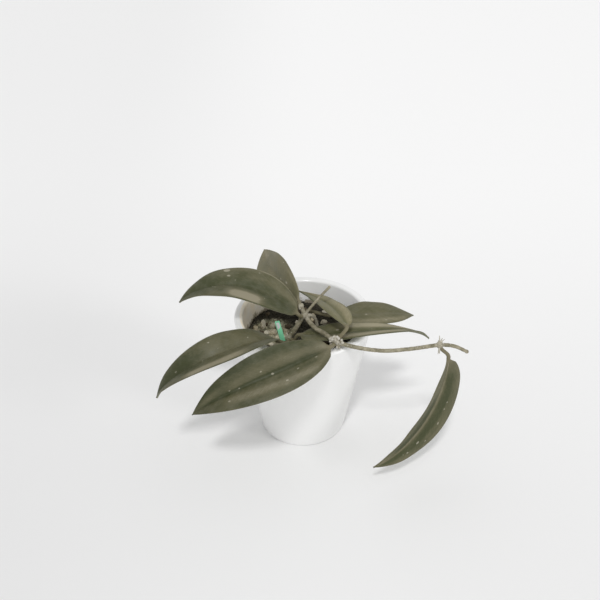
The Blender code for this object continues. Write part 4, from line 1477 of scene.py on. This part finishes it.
def half_width(leaf, share):
    """The blade's half width at a share of its length: widest a little before the middle."""
    shoulder = leaf["shoulder"]
    taper = leaf["taper"]
    widest = shoulder / (shoulder + taper)
    crest = widest**shoulder * (1 - widest) ** taper
    return leaf["width"] / 2 * share**shoulder * (1 - share) ** taper / crest


def blade_way(leaf, share):
    heading = leaf["heading"] + leaf["turn"] * share
    rise = leaf["rise"] + leaf["arch"] * share + leaf["droop"] * share**2
    return direction(heading, rise)


def blade_side(leaf, share):
    """The direction of the blade's right half, square to its midrib and tipped by its roll."""
    heading = math.radians(leaf["heading"] + leaf["turn"] * share)
    level = Vector((math.sin(heading), -math.cos(heading), 0))
    lift = level.cross(blade_way(leaf, share))
    roll = math.radians(leaf["roll"] + leaf["twist"] * share)
    return level * math.cos(roll) + lift * math.sin(roll)


def blade_stations(leaf):
    """Share, place, direction and side along the midrib, closer together near both ends."""
    stations = []
    place = Vector(leaf["base"])
    before = 0.0
    first = math.cos(math.pi * STATION_SKIP)
    for step in range(BLADE_STATIONS + 1):
        turn = STATION_SKIP + (1 - STATION_SKIP) * step / BLADE_STATIONS
        share = (first - math.cos(math.pi * turn)) / (first + 1)
        place = place + blade_way(leaf, (share + before) / 2) * leaf["length"] * (share - before)
        before = share
        stations.append((share, place, blade_way(leaf, share), blade_side(leaf, share)))
    return stations


def stalk_stations(leaf):
    """Places and directions of the stalk, from inside its node's knob to the blade."""
    base = Vector(leaf["base"])
    leave = Vector(leaf["leave"]).normalized()
    start = leaf["node"] + leave * stand_off(leaf["node"])
    pull = (base - start).length * STALK_PULL
    first = start + leave * pull
    second = base - blade_way(leaf, 0) * pull
    stations = [(start - leave * STALK_SUNK, leave)]
    for step in range(STALK_STATIONS):
        share = step / STALK_STATIONS
        left = 1 - share
        place = left**3 * start + 3 * left**2 * share * first + 3 * left * share**2 * second + share**3 * base
        slope = left**2 * (first - start) + 2 * left * share * (second - first) + share**2 * (base - second)
        stations.append((place, slope.normalized()))
    return stations


def across_shares():
    """Places across a blade from -1 to 1, closer together at the margins and the midrib."""
    shares = []
    for step in range(BLADE_ACROSS):
        swing = math.sin(math.pi * (step / (BLADE_ACROSS - 1) - 0.5))
        shares.append(swing * (1 - MARGIN_CROWDING + MARGIN_CROWDING * abs(swing)))
    return shares


def stalk_circle():
    """Unit points round a stalk, in the order of a blade's section."""
    top = [math.pi - (step + 0.5) * math.pi / BLADE_ACROSS for step in range(BLADE_ACROSS)]
    return [(math.cos(angle), math.sin(angle)) for angle in top + [-angle for angle in reversed(top)]]


def margin_wave(share, across, phase):
    drift = WAVE_DRIFT_SIZE * math.sin(share * WAVE_DRIFT + phase)
    return math.sin(phase + share * WAVES + drift + (WAVE_SIDE_SHIFT if across > 0 else 0))


def blade_section(leaf, settings, share, half, phase):
    """Points across the blade, top then underside: channel, crown, midrib groove, wavy margin."""
    lift = math.tan(math.radians(leaf["channel"])) + BLADE_CROWN
    fade = min(1.0, (1 - share) * TIP_FADE)
    top, under = [], []
    for across in across_shares():
        offset = half * across
        middle = half * (lift * abs(across) - BLADE_CROWN * across**2)
        middle += settings.wave * margin_wave(share, across, phase) * abs(across) ** 3 * fade
        body = settings.edge + (settings.crest - settings.edge) * (1 - across**2)
        thick = body * math.sqrt(max(0.0, 1 - abs(across) ** MARGIN_POWER))
        rib = settings.groove * math.exp(-((offset / RIB_WIDTH) ** 2)) * fade
        top.append((offset, middle + thick / 2 - rib))
        under.append((offset, middle - thick / 2 - UNDER_RIB * rib))
    return top + list(reversed(under))


def stalk_rings(leaf, side):
    """Rings of the stalk from its foot to the blade, turned to meet the blade's side."""
    rings = []
    for index, (place, along) in enumerate(reversed(stalk_stations(leaf))):
        side = (side - along * side.dot(along)).normalized()
        up = side.cross(along)
        radius = STALK_RADIUS * (1 - STALK_WAIST * math.sin(math.pi * (index / STALK_STATIONS)))
        rings.append([place + radius * (side * x + up * z) for x, z in stalk_circle()])
    rings.reverse()
    return rings


def blade_mesh(name, leaf, settings, number):
    """One leaf as a closed loft from the stalk's foot to the tip, with its pattern coordinates."""
    circle = stalk_circle()
    shares = across_shares()
    shares = shares + shares[::-1]
    stations = blade_stations(leaf)
    rings = stalk_rings(leaf, stations[0][3])
    places, marks = [], []
    for index in range(len(rings)):
        run = (index - STALK_STATIONS) * STALK_STEP
        places += [(run + number, STALK_RADIUS * x, 0.0) for x, _ in circle]
        marks += [STALK_MARK] * len(circle)
    for share, place, along, side in stations:
        up = side.cross(along)
        half = max(half_width(leaf, share), TIP_HALF_WIDTH)
        flat = min(share / BLADE_JOIN, 1.0)
        flat = flat * flat * (3 - 2 * flat)
        section = blade_section(leaf, settings, share, half, BLADE_PHASE * number)
        ring = []
        for index, ((round_x, round_z), (blade_x, blade_z)) in enumerate(zip(circle, section)):
            x = (1 - flat) * STALK_RADIUS * round_x + flat * blade_x
            z = (1 - flat) * STALK_RADIUS * round_z + flat * blade_z
            ring.append(place + side * x + up * z)
            upper = index < BLADE_ACROSS
            places.append((share * leaf["length"] + number, x, 0.0 if upper else 0.5))
            marks.append((share, shares[index], 1.0 if upper else 0.0))
        rings.append(ring)
    shape = bmesh.new()
    loft(shape, rings)
    mesh = mesh_from(name, shape)
    store(mesh, "blade_place", "FLOAT_VECTOR", places)
    store(mesh, "blade_mark", "FLOAT_VECTOR", marks)
    return mesh


def build_leaves(settings):
    for number, (name, leaf) in enumerate(LEAVES.items()):
        mesh = blade_mesh("waxy_" + name, leaf, settings, number)
        finish_piece("waxy_" + name, mesh, leaf_material(name, settings, number), "leaf", name)


# Stage


def soft_light(name, heading, rise, spread, strength):
    """A far lamp that shines from a heading and a rise in degrees, with soft edged shadows."""
    lamp = bpy.data.lights.new(name, "SUN")
    lamp.energy = strength
    lamp.angle = math.radians(spread)
    made = link_object(name, lamp)
    made.rotation_euler = direction(heading, rise).to_track_quat("Z", "Y").to_euler()


def build_stage(settings):
    """Pale floor, a light from above the camera, one from the right, an even sky, and the camera."""
    shape = bmesh.new()
    bmesh.ops.create_grid(shape, x_segments=2, y_segments=2, size=FLOOR_HALF)
    sheet = mesh_from("floor", shape, recalculate=False)
    link_object("floor", sheet, floor_material(settings))
    soft_light("key light", *KEY_LIGHT, settings.key)
    soft_light("side light", *SIDE_LIGHT, settings.fill)

    world = bpy.data.worlds.new("even light")
    world.use_nodes = True
    sky = world.node_tree.nodes["Background"].inputs
    sky["Color"].default_value = (1.0, 1.0, 1.0, 1.0)
    sky["Strength"].default_value = settings.sky
    scene = bpy.context.scene
    scene.world = world
    scene.view_settings.view_transform = "Standard"

    lens = bpy.data.cameras.new("camera")
    lens.lens = CAMERA_LENS
    lens.sensor_width = SENSOR
    camera = link_object("camera", lens)
    camera.location = CAMERA_PLACE
    camera.rotation_euler = (math.pi / 2 - CAMERA_PITCH, 0.0, 0.0)
    scene.camera = camera


# Operators and panel


class HOYA_OT_pot(bpy.types.Operator):
    """Turn the pot's wall and glaze it"""

    bl_idname = "hoya.pot"
    bl_label = "Build Pot"
    bl_options = {"REGISTER", "UNDO"}

    def execute(self, context):
        build_pot(context.scene.hoya_pot)
        return {"FINISHED"}


class HOYA_OT_mix(bpy.types.Operator):
    """Fill the pot with dark mix, crumbs and pale chips"""

    bl_idname = "hoya.mix"
    bl_label = "Build Potting Mix"
    bl_options = {"REGISTER", "UNDO"}

    def execute(self, context):
        build_mix(context.scene.hoya_mix)
        return {"FINISHED"}


class HOYA_OT_label(bpy.types.Operator):
    """Push the plain plastic label into the mix"""

    bl_idname = "hoya.label"
    bl_label = "Build Label"
    bl_options = {"REGISTER", "UNDO"}

    def execute(self, context):
        build_label(context.scene.hoya_label)
        return {"FINISHED"}


class HOYA_OT_vine(bpy.types.Operator):
    """Grow the woody vine with its nodes and aerial roots, and the bare side shoot"""

    bl_idname = "hoya.vine"
    bl_label = "Build Vine"
    bl_options = {"REGISTER", "UNDO"}

    def execute(self, context):
        settings = context.scene.hoya_vine
        bark = bark_material(settings)
        build_vine(settings, bark)
        build_shoot(settings, bark)
        return {"FINISHED"}


class HOYA_OT_leaves(bpy.types.Operator):
    """Grow the eight thick waxy leaves on their stalks"""

    bl_idname = "hoya.leaves"
    bl_label = "Build Leaves"
    bl_options = {"REGISTER", "UNDO"}

    def execute(self, context):
        build_leaves(context.scene.hoya_leaves)
        return {"FINISHED"}


class HOYA_OT_stage(bpy.types.Operator):
    """Lay the pale floor and set the soft lights and the camera"""

    bl_idname = "hoya.stage"
    bl_label = "Build Stage"
    bl_options = {"REGISTER", "UNDO"}

    def execute(self, context):
        build_stage(context.scene.hoya_stage)
        return {"FINISHED"}


OPERATORS = (HOYA_OT_pot, HOYA_OT_mix, HOYA_OT_label, HOYA_OT_vine, HOYA_OT_leaves, HOYA_OT_stage)


class HOYA_PT_sidebar(bpy.types.Panel):
    """Lists the pieces of the potted hoya with their sizes and colours"""

    bl_idname = "HOYA_PT_sidebar"
    bl_label = "Potted Hoya"
    bl_space_type = "VIEW_3D"
    bl_region_type = "UI"
    bl_category = "Hoya"

    def draw(self, context):
        for operator in OPERATORS:
            self.layout.operator(operator.bl_idname)
        for name, group in SETTINGS.items():
            box = self.layout.box()
            for field in group.__annotations__:
                box.prop(getattr(context.scene, name), field)


SETTINGS = {
    "hoya_pot": HoyaPotSettings,
    "hoya_mix": HoyaMixSettings,
    "hoya_label": HoyaLabelSettings,
    "hoya_vine": HoyaVineSettings,
    "hoya_leaves": HoyaLeafSettings,
    "hoya_stage": HoyaStageSettings,
}


def register():
    for name, group in SETTINGS.items():
        bpy.utils.register_class(group)
        setattr(bpy.types.Scene, name, PointerProperty(type=group))
    for found in (*OPERATORS, HOYA_PT_sidebar):
        bpy.utils.register_class(found)


def unregister():
    for found in reversed((*OPERATORS, HOYA_PT_sidebar)):
        bpy.utils.unregister_class(found)
    for name, group in SETTINGS.items():
        delattr(bpy.types.Scene, name)
        bpy.utils.unregister_class(group)


def main():
    """Builds every piece in order."""
    register()
    bpy.ops.hoya.pot()
    bpy.ops.hoya.mix()
    bpy.ops.hoya.label()
    bpy.ops.hoya.vine()
    bpy.ops.hoya.leaves()
    bpy.ops.hoya.stage()


if __name__ == "__main__":
    main()
